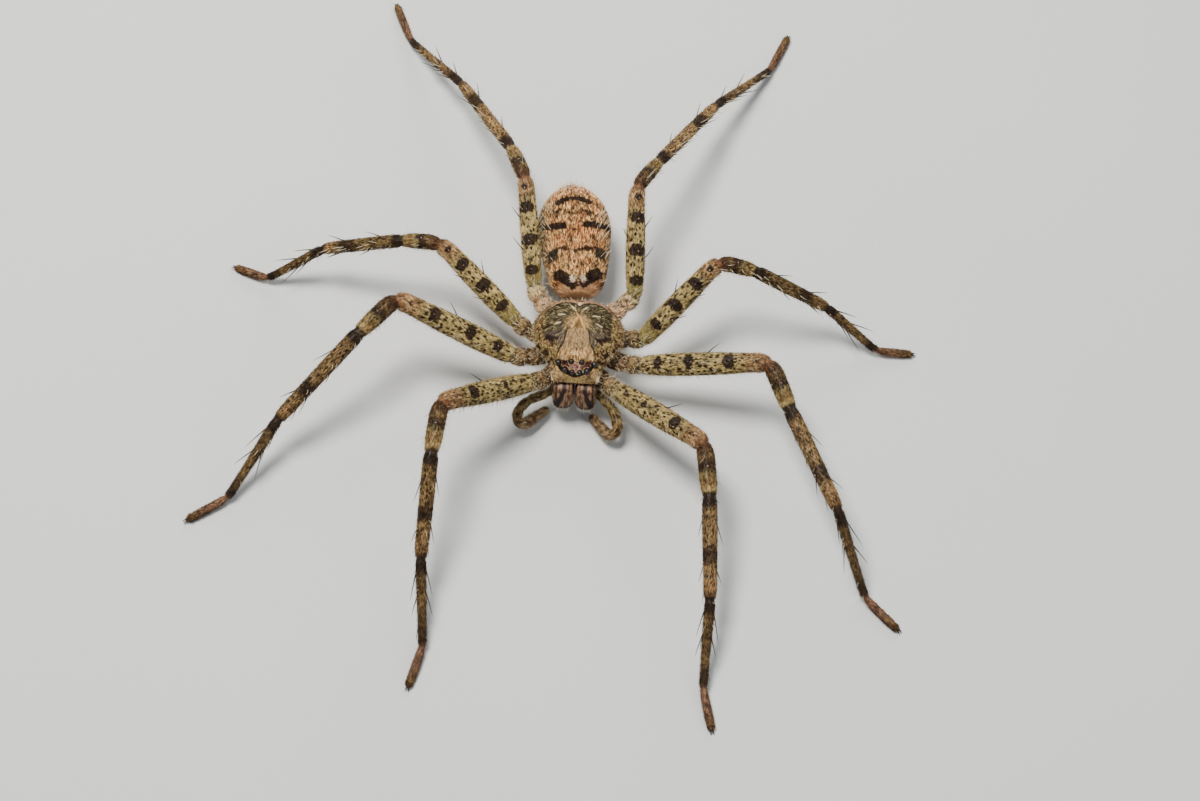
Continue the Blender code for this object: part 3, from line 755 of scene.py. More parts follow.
class SharedGroups:
    """Effects that several materials use, each built once."""

    def __init__(self) -> None:
        """Build the groups."""
        self.edge = self.build_edge()
        self.speckle = self.build_speckle()
        self.streaks = self.build_streaks()
        self.grain = self.build_grain()

    def build_edge(self) -> bpy.types.NodeTree:
        """A mask that is one where a distance field is under an edge, with a ragged rim."""
        tree, graph, take, give = new_group(
            "ragged_edge", {"Place": (0.0, 0.0, 0.0), "Field": 0.0, "Edge": 0.0, "Width": 0.05,
                            "Ragged": 0.2, "Scale": 6.0}, {"Mask": "Float"})
        noise = graph.noise(take["Place"], take["Scale"], 3.0, 0.65)
        shift = graph.times(graph.less(noise, 0.5), take["Ragged"])
        gap = graph.less(graph.plus(take["Field"], shift), take["Edge"])
        share = graph.over(gap, take["Width"])
        graph.feed(give["Mask"], graph.step(share, -1.0, 1.0, 1.0, 0.0))
        return tree

    def build_speckle(self) -> bpy.types.NodeTree:
        """Scattered oval dots of different sizes on a surface unrolled about the x axis."""
        tree, graph, take, give = new_group(
            "speckle", {"Place": (0.0, 0.0, 0.0), "Spacing": 0.45, "Radius": 0.32, "Share": 0.8,
                        "Girth": 0.8},
            {"Mask": "Float"})
        along, side, up = graph.split(take["Place"])
        arc = graph.times(graph.math("ARCTAN2", side, up), take["Girth"])
        wobble = graph.times(graph.noise(take["Place"], 3.0, 2.0), 0.25)
        flat = graph.add("ShaderNodeCombineXYZ",
                         {0: graph.times(along, 0.72), 1: graph.plus(arc, wobble), 2: 0.0})
        cells = graph.add("ShaderNodeTexVoronoi",
                          {"Vector": flat.outputs[0], "Scale": graph.over(1.0, take["Spacing"]),
                                                   "Randomness": 0.8}, voronoi_dimensions="2D")
        draw = graph.split(cells.outputs["Color"])
        size = graph.times(take["Radius"], graph.plus(0.6, graph.times(draw[0], 0.7)))
        inside = graph.step(graph.less(cells.outputs["Distance"], size), -0.07, 0.09, 1.0, 0.0)
        kept = graph.math("LESS_THAN", draw[1], take["Share"])
        graph.feed(give["Mask"], graph.times(inside, kept))
        return tree

    def build_streaks(self) -> bpy.types.NodeTree:
        """Fine lines of lying hair: noise drawn out along x."""
        tree, graph, take, give = new_group(
            "hair_streaks", {"Place": (0.0, 0.0, 0.0), "Fine": 9.0, "Drawn": 0.22},
            {"Mask": "Float", "Height": "Float"})
        stretch = graph.add("ShaderNodeCombineXYZ", {0: take["Drawn"], 1: 1.0, 2: 1.0}).outputs[0]
        drawn = graph.scaled(take["Place"], stretch)
        coarse = graph.noise(drawn, take["Fine"], 2.0, 0.6)
        fine = graph.noise(drawn, graph.times(take["Fine"], 2.7), 1.0)
        both = graph.plus(graph.times(coarse, 0.65), graph.times(fine, 0.35))
        graph.feed(give["Mask"], graph.step(both, 0.36, 0.64))
        graph.feed(give["Height"], both)
        return tree

    def build_grain(self) -> bpy.types.NodeTree:
        """Fine bumps of the shell, with shallow dimples between them."""
        tree, graph, take, give = new_group(
            "shell_grain", {"Place": (0.0, 0.0, 0.0), "Fine": 14.0}, {"Height": "Float"})
        bumps = graph.noise(take["Place"], take["Fine"], 4.0, 0.6)
        swells = graph.noise(take["Place"], graph.times(take["Fine"], 0.18), 2.0)
        graph.feed(give["Height"], graph.plus(graph.times(bumps, 0.6),
                                              graph.times(swells, 0.4)))
        return tree


class Markings(Graph):
    """A node group that turns a piece's fields into its colour and the height of its bumps."""

    def __init__(self, name: str, shared: SharedGroups, numbers: tuple = (),
                 vectors: tuple = ("place",)) -> None:
        """Start the group.

        Args:
            name: what it marks.
            shared: effects that it may place.
            numbers: fields of numbers that it reads.
            vectors: fields of vectors that it reads.
        """
        self.shared, self.numbers, self.vectors = shared, numbers, vectors
        inputs = {key.capitalize(): (0.0, 0.0, 0.0) for key in vectors}
        inputs |= {key.capitalize(): FAR for key in numbers}
        tree, _, self.take, self.give = new_group(name + "_colours", inputs,
                                                  {"Color": "Color", "Height": "Float"})
        super().__init__(tree)
        self.place = self.take["Place"]

    def cloud(self, scale: float, detail: float = 2.0, rough: float = 0.5, stretch: Color | None = None,
              at: object = None) -> Socket:
        """Soft noise over the piece, which may be drawn out."""
        where = self.place if at is None else at
        return self.noise(self.scaled(where, stretch) if stretch else where, scale, detail, rough)

    def blend(self, value: object, low: float, high: float, first: object, second: object) -> Socket:
        """One colour below a value and another above it."""
        return self.mix(self.step(value, low, high), first, second)

    def edge(self, field: object, edge: float, width: float, ragged: float,
             scale: float = 6.0) -> Socket:
        """One where a field is under an edge, with a ragged rim."""
        return self.group(self.shared.edge,
                          {"Place": self.place, "Field": field, "Edge": edge, "Width": width,
                                             "Ragged": ragged, "Scale": scale})["Mask"]

    def dots(self, spacing: float, radius: float, share: float) -> Socket:
        """Scattered dots."""
        return self.group(self.shared.speckle, {"Place": self.place, "Spacing": spacing, "Radius": radius,
                                                "Share": share})["Mask"]

    def streaks(self, **values: object) -> bpy.types.NodeOutputs:
        """Lines of lying hair."""
        return self.group(self.shared.streaks, {"Place": self.place} | values)

    def grain(self, fine: float) -> Socket:
        """Fine bumps of the shell."""
        return self.group(self.shared.grain, {"Place": self.place, "Fine": fine})["Height"]

    def over_by(self, mask: object, share: object, color: object, tone: object) -> Socket:
        """A colour with a tone laid over it, by a mask times a share."""
        return self.mix(self.times(mask, share), color, tone)

    def done(self, color: object, height: object) -> "Markings":
        """Put out the colour and the height."""
        self.feed(self.give["Color"], color)
        self.feed(self.give["Height"], height)
        return self


@dataclass(frozen=True)
class Finish:
    """How a surface shines: its roughness, coat and the depth of its bumps."""

    roughness: float = 0.55
    specular: float = 0.4
    coat: float = 0.0
    bump: float = 0.03
    subsurface: float = 0.0


class Shading(Graph):
    """A material whose nodes end in one Principled shader."""

    def __init__(self, name: str) -> None:
        """Start it with an empty node tree."""
        self.material = bpy.data.materials.new(name)
        self.material.use_nodes = True
        self.material.node_tree.nodes.clear()
        super().__init__(self.material.node_tree)

    def dressed(self, finish: Finish, color: object, height: object = None) -> Material:
        """Close the nodes with the shader.

        Args:
            finish: how the surface shines.
            color: its base colour.
            height: the height of its bumps.
        Returns:
            The material.
        """
        values = {"Base Color": color, "Roughness": finish.roughness, "Specular IOR Level": finish.specular,
                  "Coat Weight": finish.coat, "Coat Roughness": 0.08}
        if finish.subsurface:
            values |= {"Subsurface Weight": finish.subsurface, "Subsurface Scale": MM,
                       "Subsurface Radius": (0.5, 0.28, 0.14)}
        shader = self.add("ShaderNodeBsdfPrincipled", values)
        if height is not None:
            bump = self.add("ShaderNodeBump",
                            {"Strength": 1.0, "Distance": finish.bump * MM, "Height": height})
            self.feed(shader.inputs["Normal"], bump.outputs[0])
        self.add("ShaderNodeOutputMaterial", {"Surface": shader.outputs[0]})
        return self.material


def over_tufts(graph: Graph, color: object, tip_color: Color, seta_color: Color, tip_share: float,
               tuft_range: tuple[float, float]) -> tuple:
    """Turn a skin's colour into its coat's: tufts differ in brightness, pale at the tip, and
    long hairs have a colour of their own.

    Args:
        graph: the material's graph.
        color: the skin's colour at the tuft's root.
        tip_color: the colour that tips tend to.
        seta_color: the colour of long hairs.
        tip_share: how far tips go to their colour.
        tuft_range: brightness of the darkest and the palest tuft.
    Returns:
        The coat's colour.
    """
    shade = graph.number("shade")
    bright = graph.step(shade, 0.0, 1.0, *tuft_range)
    level = graph.add("ShaderNodeCombineXYZ", {0: bright, 1: bright, 2: bright}).outputs[0]
    varied = graph.mix(1.0, color, level, "MULTIPLY")
    light = graph.add("ShaderNodeRGBToBW", {"Color": color}).outputs[0]
    pale = graph.times(graph.number("tip"), graph.step(shade, 0.55, 1.0, 0.0, tip_share))
    pale = graph.times(pale, graph.step(light, 0.02, 0.12, 0.05, 1.0))
    tipped = graph.mix(pale, varied, tip_color)
    return graph.mix(graph.times(graph.number("kind"), 0.85), tipped, seta_color)


CREAM_LIGHT = (0.9, 0.7, 0.34)
CREAM = (0.5, 0.365, 0.145)
OLIVE_CREAM = (0.24, 0.185, 0.072)
OLIVE = (0.1, 0.078, 0.031)
YELLOW_GREEN = (0.22, 0.17, 0.045)
TAN_LIGHT = (0.3, 0.18, 0.06)
TAN = (0.17, 0.104, 0.04)
BROWN = (0.072, 0.041, 0.017)
RED_BROWN = (0.08, 0.033, 0.016)
DARK_BROWN = (0.032, 0.017, 0.008)
BLACK_BROWN = (0.012, 0.007, 0.004)
ORANGE_BROWN = (0.2, 0.082, 0.03)
PINK_BROWN = (0.14, 0.07, 0.041)


@dataclass(frozen=True)
class LegLook:
    """Colours of one pair of legs. Places on a leg are segment numbers plus shares."""

    name: str
    band: tuple[float, float]
    plain_base: bool = False
    gold: Color = TAN
    far: Color = (0.26, 0.16, 0.064)
    hip: Color = (0.2, 0.11, 0.048)
    knob: Color = (0.42, 0.28, 0.12)
    dot_color: Color = (0.016, 0.008, 0.004)
    blotch_color: Color = (0.014, 0.006, 0.005)
    # Painted highlight: the pale dot in the middle of each spine socket.
    socket_color: Color = (0.62, 0.4, 0.3)
    belly_color: Color = (0.3, 0.15, 0.06)
    seta_color: Color = (0.8, 0.7, 0.5)

    def stops(self) -> tuple:
        """Where the colours change, with the dark and the pale one that mottle the leg there."""
        start, end = (4 + share for share in self.band)
        base = (YELLOW_GREEN, OLIVE_CREAM) if self.plain_base else (OLIVE, CREAM)
        return (
            (0.0, DARK_BROWN, self.hip), (0.9, DARK_BROWN, self.hip), (1.0, DARK_BROWN, TAN),
            (1.1, DARK_BROWN, self.hip), (1.85, BROWN, self.knob), (1.97, DARK_BROWN, BROWN),
            (2.03, *base), (2.13, *base), (2.2, OLIVE, CREAM), (2.76, OLIVE, CREAM),
            (2.84, DARK_BROWN, (0.36, 0.22, 0.09)), (2.94, BROWN, (0.6, 0.36, 0.17)),
            (3.0, RED_BROWN, ORANGE_BROWN),
            (3.1, DARK_BROWN, RED_BROWN), (3.34, DARK_BROWN, TAN), (3.43, BLACK_BROWN, BROWN),
            (3.54, BLACK_BROWN, BROWN), (3.62, BROWN, OLIVE_CREAM), (3.85, BROWN, TAN_LIGHT),
            (3.94, TAN, CREAM), (4.0, BLACK_BROWN, DARK_BROWN), (4.1, BLACK_BROWN, DARK_BROWN),
            (4.15, BROWN, self.far), (start - 0.03, BROWN, self.far), (start + 0.01, BLACK_BROWN, BROWN),
            (end - 0.02, BLACK_BROWN, BROWN), (end + 0.03, BROWN, self.far),
            (4.93, BROWN, (0.38, 0.21, 0.085)),
            (5.0, BLACK_BROWN, DARK_BROWN), (5.15, BLACK_BROWN, DARK_BROWN), (5.22, DARK_BROWN, self.gold),
            (5.7, DARK_BROWN, self.gold),
        )

    def foot_stops(self) -> tuple:
        """The same for the end of the leg."""
        return (
            (5.7, DARK_BROWN, self.gold), (5.84, BLACK_BROWN, BROWN), (5.97, BLACK_BROWN, DARK_BROWN),
            (6.0, RED_BROWN, PINK_BROWN), (6.06, RED_BROWN, (0.22, 0.11, 0.06)),
            (6.5, DARK_BROWN, (0.2, 0.1, 0.055)),
            (6.9, RED_BROWN, TAN),
        )

    def dots(self) -> tuple:
        """How strongly dots show along the leg."""
        first = 0.25 if self.plain_base else 1.0
        return ((0.0, 0.3), (1.9, 0.4), (2.05, first), (2.14, first), (2.22, 1.0), (2.8, 1.0), (2.92, 0.3),
                (3.1, 0.6), (3.6, 0.8), (3.9, 0.3), (4.12, 0.95), (4.9, 0.9), (5.1, 0.6), (5.9, 0.4))


LEG_LOOKS = {
    1: LegLook("leg1", (0.53, 0.66)),
    2: LegLook("leg2", (0.59, 0.73)),
    3: LegLook("leg3", (0.61, 0.76), True, (0.2, 0.12, 0.045), (0.2, 0.13, 0.05)),
    4: LegLook("leg4", (0.61, 0.78), True, (0.23, 0.135, 0.052), (0.36, 0.22, 0.09), (0.72, 0.42, 0.22),
               CREAM_LIGHT),
}
SEGMENTS = 7.0


def leg_markings(look: LegLook, shared: SharedGroups) -> Markings:
    """Two mottled colours, dots, blotches round the spines, a painted highlight dot at each spine's socket,
    and a tan underside.
    """
    graph = Markings(look.name, shared, ("part", "socket", "blotch"))
    socket = graph.take["Socket"]
    wobble = graph.times(graph.less(graph.cloud(2.4, 3.0), 0.5), 0.1)
    wide = graph.plus(graph.take["Part"], wobble)
    part = graph.over(wide, SEGMENTS)
    foot = graph.math("GREATER_THAN", wide, look.foot_stops()[0][0])
    dark, pale = (graph.mix(foot,
                            *(graph.ramp(part, tuple((stop[0] / SEGMENTS, stop[tone]) for stop in stops))
                                    for stops in (look.stops(), look.foot_stops()))) for tone in (1, 2))
    streaks = graph.streaks(Fine=5.5, Drawn=0.4)
    mottle = graph.math("ADD", graph.times(streaks["Mask"], 0.55),
                        graph.step(graph.cloud(1.9, 3.0, 0.6), 0.34, 0.66, 0.0, 0.55), clamp=True)
    color = graph.mix(mottle, dark, pale)
    share = graph.ramp(part, tuple((stop / SEGMENTS, (level,) * 3) for stop, level in look.dots()))
    upper = graph.step(graph.split(graph.place)[2], -0.55, -0.1)
    dots = graph.times(graph.times(graph.dots(0.33, 0.28, 0.85), share),
                       graph.plus(0.2, graph.times(upper, 0.75)))
    color = graph.mix(dots, color, look.dot_color)
    color = graph.over_by(graph.edge(graph.take["Blotch"], 0.0, 0.04, 0.42, 4.0), 0.94, color,
                          look.blotch_color)
    color = graph.over_by(graph.edge(socket, 0.17, 0.05, 0.12), 0.7, color, look.blotch_color)
    # Painted highlight: a pale dot in the middle of each spine socket stands in for the glint there. The
    # same dot also raises the bump.
    core = graph.step(socket, 0.05, 0.1, 1.0, 0.0)
    color = graph.mix(core, color, look.socket_color)
    color = graph.over_by(graph.less(1.0, upper), 0.55, color, look.belly_color)
    return graph.done(color, graph.plus(streaks["Height"], graph.times(core, 0.8)))


@dataclass(frozen=True)
class Leg:
    """One leg: its pose, and the fixed sizes of the four pairs."""

    side: Side
    pair: int
    headings: tuple
    heights: tuple

    lengths = {1: (8.5, 3.95, 7.5, 6.15, 3.15), 2: (9.45, 3.65, 8.5, 6.65, 3.25),
               3: (7.9, 2.7, 6.3, 5.05, 2.55), 4: (8.0, 2.9, 8.7, 7.35, 3.45)}
    widths = {1: (1.5, 1.44, 1.74, 1.36, 1.22, 0.94, 0.74), 2: (1.5, 1.44, 1.76, 1.38, 1.24, 0.94, 0.74),
              3: (1.5, 1.4, 1.6, 1.22, 1.1, 0.84, 0.7), 4: (1.5, 1.4, 1.48, 1.16, 1.04, 0.8, 0.68)}
    trochanter = 1.1
    coxa_roots = {1: (0.95, -1.5), 2: (1.6, -0.4), 3: (1.6, 0.75), 4: (1.15, 1.85)}
    hips = {1: (2.2, -2.75), 2: (3.6, -1.05), 3: (3.6, 1.15), 4: (3.0, 3.8)}
    levels = (2.8, 2.95, 3.35)
    ankle = 0.5
    tip = 0.24
    bends = (0.5, 0.44, 1.1, 0.9, 0.9, 0.7)
    profiles = (
        ((0, 0.8), (0.4, 0.95), (0.75, 1.0), (1, 0.88)),
        ((0, 0.88), (0.4, 1.0), (1, 0.94)),
        ((0, 0.78), (0.1, 0.88), (0.32, 1.0), (0.6, 0.98), (0.85, 0.86), (0.95, 0.84), (1, 0.72)),
        ((0, 0.84), (0.18, 0.98), (0.5, 1.0), (0.8, 0.96), (1, 0.84)),
        ((0, 0.84), (0.1, 1.0), (0.3, 1.0), (0.7, 0.95), (0.92, 0.9), (1, 0.78)),
        ((0, 0.9), (0.08, 1.0), (0.4, 0.9), (0.85, 0.8), (0.95, 0.8), (1, 0.74)),
        ((0, 0.8), (0.15, 0.92), (0.55, 1.0), (0.88, 0.9), (1, 0.56)),
    )
    coxa_flatness = 0.8
    spines = {
        Segment.FEMUR: ((0.15, 76), (0.41, 76), (0.71, 76), (0.33, 22), (0.62, 18), (0.9, 70), (0.52, 150)),
        Segment.PATELLA: ((0.5, 90),),
        Segment.TIBIA: ((0.2, 20), (0.26, 160), (0.66, 15), (0.72, 165), (0.4, -60), (0.8, -60)),
        Segment.METATARSUS: ((0.1, 14), (0.14, 166), (0.37, 5), (0.42, 175), (0.3, -60), (0.62, -115)),
    }
    spine_sizes = {Segment.FEMUR: (1.15, 0.05, 48), Segment.PATELLA: (0.7, 0.04, 50),
                   Segment.TIBIA: (1.55, 0.05, 68), Segment.METATARSUS: (1.95, 0.055, 70)}
    blotches = {1: ((0.36, 0.22), (0.7, 0.4)), 2: ((0.15, 0.33), (0.39, 0.38), (0.7, 0.42)),
                3: ((0.2, 0.36), (0.45, 0.42), (0.72, 0.4), (0.91, 0.2)),
                4: ((0.14, 0.38), (0.42, 0.46), (0.72, 0.4), (0.91, 0.2))}
    blotch_angle = 76
    row_step = 0.085
    around = 30
    membrane = 0.15
    pinches = (0.12, 0.14, 0.1, 0.04, 0.05, 0.12)
    depths = (0.05, 0.05, 0.05, 0.05, 0.07, 0.085, 0.09, 0.08)
    facet_inset = 0.955
    fine_step = 0.02
    softening = 0.12
    tip_length = 0.3

    @property
    def name(self) -> str:
        """The leg's name, as its nodes start."""
        return f"leg{self.pair}_{self.side.word}"

    @property
    def nodes(self) -> tuple[str, ...]:
        """The solids that the leg's skin stands for."""
        return tuple(f"{self.name}_{part.name.lower()}" for part in Segment if part.value >= 2)

    def joints(self) -> Points:
        """Joints of the centreline: each segment has a heading, a length and a height to reach,
        and its level run is what its rise leaves of its length."""
        sign = self.side.value
        lengths = (self.trochanter, *self.lengths[self.pair])
        levels = (*self.levels[1:], *self.heights, self.ankle, self.tip)
        root, hip = self.coxa_roots[self.pair], self.hips[self.pair]
        joints = [(sign * root[0], root[1], self.levels[0]), (sign * hip[0], hip[1], self.levels[1])]
        for index, (heading, length) in enumerate(zip(self.headings, lengths)):
            rise = levels[index + 1] - levels[index]
            run = math.sqrt(length ** 2 - rise ** 2)
            x, y, z = joints[-1]
            turn = math.radians(heading)
            joints.append((x + run * math.cos(turn), y + run * math.sin(turn), z + rise))
        return np.array(joints)

    def half_width(self, line: Centreline) -> tuple[Points, Points]:
        """The skin's radius along the leg: each segment's own profile, softened where segments
        meet, drawn in at the joints' membranes and rounded off at the tip.

        Returns:
            Lengths along the leg, and the radius at each.
        """
        where = np.arange(0, line.lengths[-1], self.fine_step)
        half = np.zeros_like(where)
        for part in range(7):
            start, end = line.marks[part], line.marks[part + 1]
            inside = (where >= start) & (where <= end)
            share = (where[inside] - start) / (end - start)
            half[inside] = self.widths[self.pair][part] / 2 * smooth(*zip(*self.profiles[part]), share)
        kernel = bell(np.arange(-12, 13) * self.fine_step, self.softening)
        half = np.convolve(np.pad(half, 12, mode="edge"), kernel / kernel.sum(), mode="valid")
        for mark, pinch in zip(line.marks[1:-1], self.pinches):
            half *= 1 - pinch * bell(where - mark, self.membrane)
        left = np.clip((line.lengths[-1] - where) / self.tip_length, 0, 1)
        depth = np.interp(where, line.marks, self.depths)
        half = half * self.facet_inset - depth
        return where, half * np.sqrt(np.maximum(1 - (1 - left) ** 2, 0.02))

    def skin(self) -> Skin:
        """The leg's skin from inside the body to the foot: rings round the centreline."""
        line = Centreline(self.joints(), self.bends)
        stations, halves = self.half_width(line)
        where = np.arange(0.02, line.lengths[-1] - 0.03, self.row_step)
        half = np.interp(where, stations, halves)
        flat = np.interp(where, (line.marks[1] - 0.3, line.marks[1] + 0.2), (self.coxa_flatness, 1.0))
        points, place = rings(line, where, half, half * flat, turns(self.around), self.side.value)
        sockets = [(part, *spot, 0.0) for part, places in self.spines.items() for spot in places]
        blotches = [(Segment.FEMUR, share, self.blotch_angle, radius)
                    for share, radius in self.blotches[self.pair]]
        part = np.interp(where, line.marks, np.arange(8))
        fields = {"place": place + np.array((self.pair * 40.0 + self.side.value * 80, 0.0, 0.0)),
                  "part": np.broadcast_to(part[:, None], place.shape[:2]),
                  "socket": self.to_spots(line, where, half, sockets),
                  "blotch": self.to_spots(line, where, half, blotches, 0.62)}
        return Skin(self.name + "_skin", points, fields, 6)

    def to_spots(self, line: Centreline, where: Points, half: Points, spots: list,
                 girth: float = 1.0) -> Points:
        """Distance over the skin to the rim of the nearest of round spots.

        Args:
            line: the leg's centreline.
            where: lengths along it.
            half: the radius at each.
            spots: for each spot its segment, the share of its length, the angle and the radius.
            girth: how far a way round the leg counts.
        Returns:
            Distances over the skin's grid.
        """
        angles = turns(self.around)
        nearest = np.full((len(where), self.around), FAR)
        for part, share, angle, radius in spots:
            start, end = line.marks[part.value], line.marks[part.value + 1]
            turn = np.angle(np.exp(1j * (angles - math.radians(angle))))
            ahead = (where - start - share * (end - start))[:, None]
            nearest = np.minimum(nearest, np.hypot(ahead, turn * half[:, None] * girth) - radius)
        return nearest

    def hairs(self) -> list[Hair]:
        """The leg's kinds of hair: short fur, standing hairs, long pale ones, and the pads of
        the foot."""
        seed = self.pair * 10 + self.side.value

        def between(fields: dict, start: float, end: float) -> Points:
            """One on a stretch of the leg, and nought elsewhere."""
            return ((fields["part"] > start) & (fields["part"] < end)) * 1.0

        def share(fields: dict, axis: int) -> Points:
            """How far a place round the leg is aside or upwards, from minus one to one."""
            place = fields["place"]
            return place[..., axis] / (np.hypot(place[..., 1], place[..., 2]) + 1e-6)

        def fur(fields: dict) -> Points:
            """Thinner at the joints."""
            return np.where(np.abs(fields["part"] - np.round(fields["part"])) < 0.02, 0.2, 1.0)

        def sides(fields: dict) -> Points:
            """Mostly on both sides of the leg, up to the foot."""
            return np.clip(np.abs(share(fields, 1)) - 0.35, 0.02, 1) * between(fields, 0.5, 6.0)

        def pads(fields: dict) -> Points:
            """Under and beside the metatarsus and tarsus."""
            return np.clip(0.25 - share(fields, 2), 0, 1) * between(fields, 5.25, 8.0)

        def hips(fields: dict) -> Points:
            """On coxa and trochanter, outside the body."""
            return between(fields, 0.35, 2.05)

        def fringe(fields: dict) -> Points:
            """Low on the femur's sides."""
            return np.clip(0.4 - share(fields, 2), 0, 1) * between(fields, 2.05, 3.9)

        def claw_tufts(fields: dict) -> Points:
            """At the tip of the foot."""
            return between(fields, 6.86, 8.0)

        return [
            Hair(8200, 0.16, 0.3, 0.06, 20, 6, 14, Hairs.FUR, seed + 1, fur),
            Hair(700, 0.28, 0.45, 0.036, 42, 26, 14, Hairs.FUR, seed + 2, sides),
            Hair(170, 0.6, 1.0, 0.036, 56, 48, 12, Hairs.SETA, seed + 3, sides),
            Hair(240, 0.24, 0.48, 0.042, 52, 40, 26, Hairs.SETA, seed + 6, hips),
            Hair(420, 0.35, 0.6, 0.028, 62, 52, 16, Hairs.SETA, seed + 7, fringe),
            Hair(1500, 0.16, 0.26, 0.04, 60, 50, 25, Hairs.FUR, seed + 4, pads),
            Hair(260, 0.2, 0.38, 0.035, 40, 10, 40, Hairs.FUR, seed + 5, claw_tufts),
        ]

    def build(self, materials: Materials) -> None:
        """Make the leg's skin, coat, spines and claws."""
        put_on(self.skin(), materials, LEG_LOOKS[self.pair].name, self.nodes, self.hairs())
        self.build_spines(materials["spine"])

    def build_spines(self, material: Material) -> None:
        """Long dark spines, sloping to the foot, and two claws that curve down at the tip."""
        line = Centreline(self.joints(), self.bends)
        stations, halves = self.half_width(line)
        roots, ways, bends, lengths, radii = [], [], [], [], []
        for part, places in self.spines.items():
            start, end = line.marks[part.value], line.marks[part.value + 1]
            length, radius, lean = self.spine_sizes[part]
            for number, (share, angle) in enumerate(places):
                spot = start + share * (end - start)
                place, along, side, up = (value[0] for value in line.frames(np.array([spot])))
                turn = math.radians(angle)
                outward = math.cos(turn) * self.side.value * side + math.sin(turn) * up
                half = float(np.interp(spot, stations, halves))
                tilt = math.radians(lean + 5 * math.sin(7 * number + self.pair))
                way = math.cos(tilt) * outward + math.sin(tilt) * along
                roots.append(place + outward * (half - 0.05))
                ways.append(way)
                size = length * (0.88 + 0.18 * math.cos(5 * number + self.pair))
                bends.append(along * size * 0.14)
                lengths.append(size)
                radii.append(radius)
        piece = spikes(self.name + "_spines", np.array(roots), np.array(ways), np.array(bends),
                       np.array(lengths), np.array(radii), material)
        place, along, _, _ = (value[0] for value in line.frames(line.lengths[-1:] - 0.12))
        heading = math.atan2(along[1], along[0])
        turns = heading + np.radians((-15, 15))
        level = np.stack([np.cos(turns), np.sin(turns), np.full(2, 0.15)], -1)
        roots = place + level * 0.02
        claws = spikes(self.name + "_claws", roots, level, np.array(((0, 0, -0.22),) * 2), np.full(2, 0.5),
                       np.full(2, 0.085), material)


POSES = (
    Leg(Side.LEFT, 1, (-43, -38, -82, -86, -91, -76), (5.5, 5.1, 3.2)),
    Leg(Side.LEFT, 2, (-13, -2, -65, -64, -63, -43), (5.6, 4.9, 4.5)),
    Leg(Side.LEFT, 3, (-20, 45, -10, -7, -24, 1), (6.6, 6.4, 3.2)),
    Leg(Side.LEFT, 4, (37, 93, 60, 61, 54, 69), (6.7, 6.3, 3.4)),
    Leg(Side.RIGHT, 1, (-149, -145, -95, -92, -84, -104), (7.2, 7.1, 3.3)),
    Leg(Side.RIGHT, 2, (-170, 167, -129, -134, -122, -145), (7.0, 6.8, 3.3)),
    Leg(Side.RIGHT, 3, (152, 142, 178, 177, -165, 160), (6.0, 5.8, 3.4)),
    Leg(Side.RIGHT, 4, (117, 99, 115, 120, 128, 112), (6.2, 6.0, 3.2)),
)


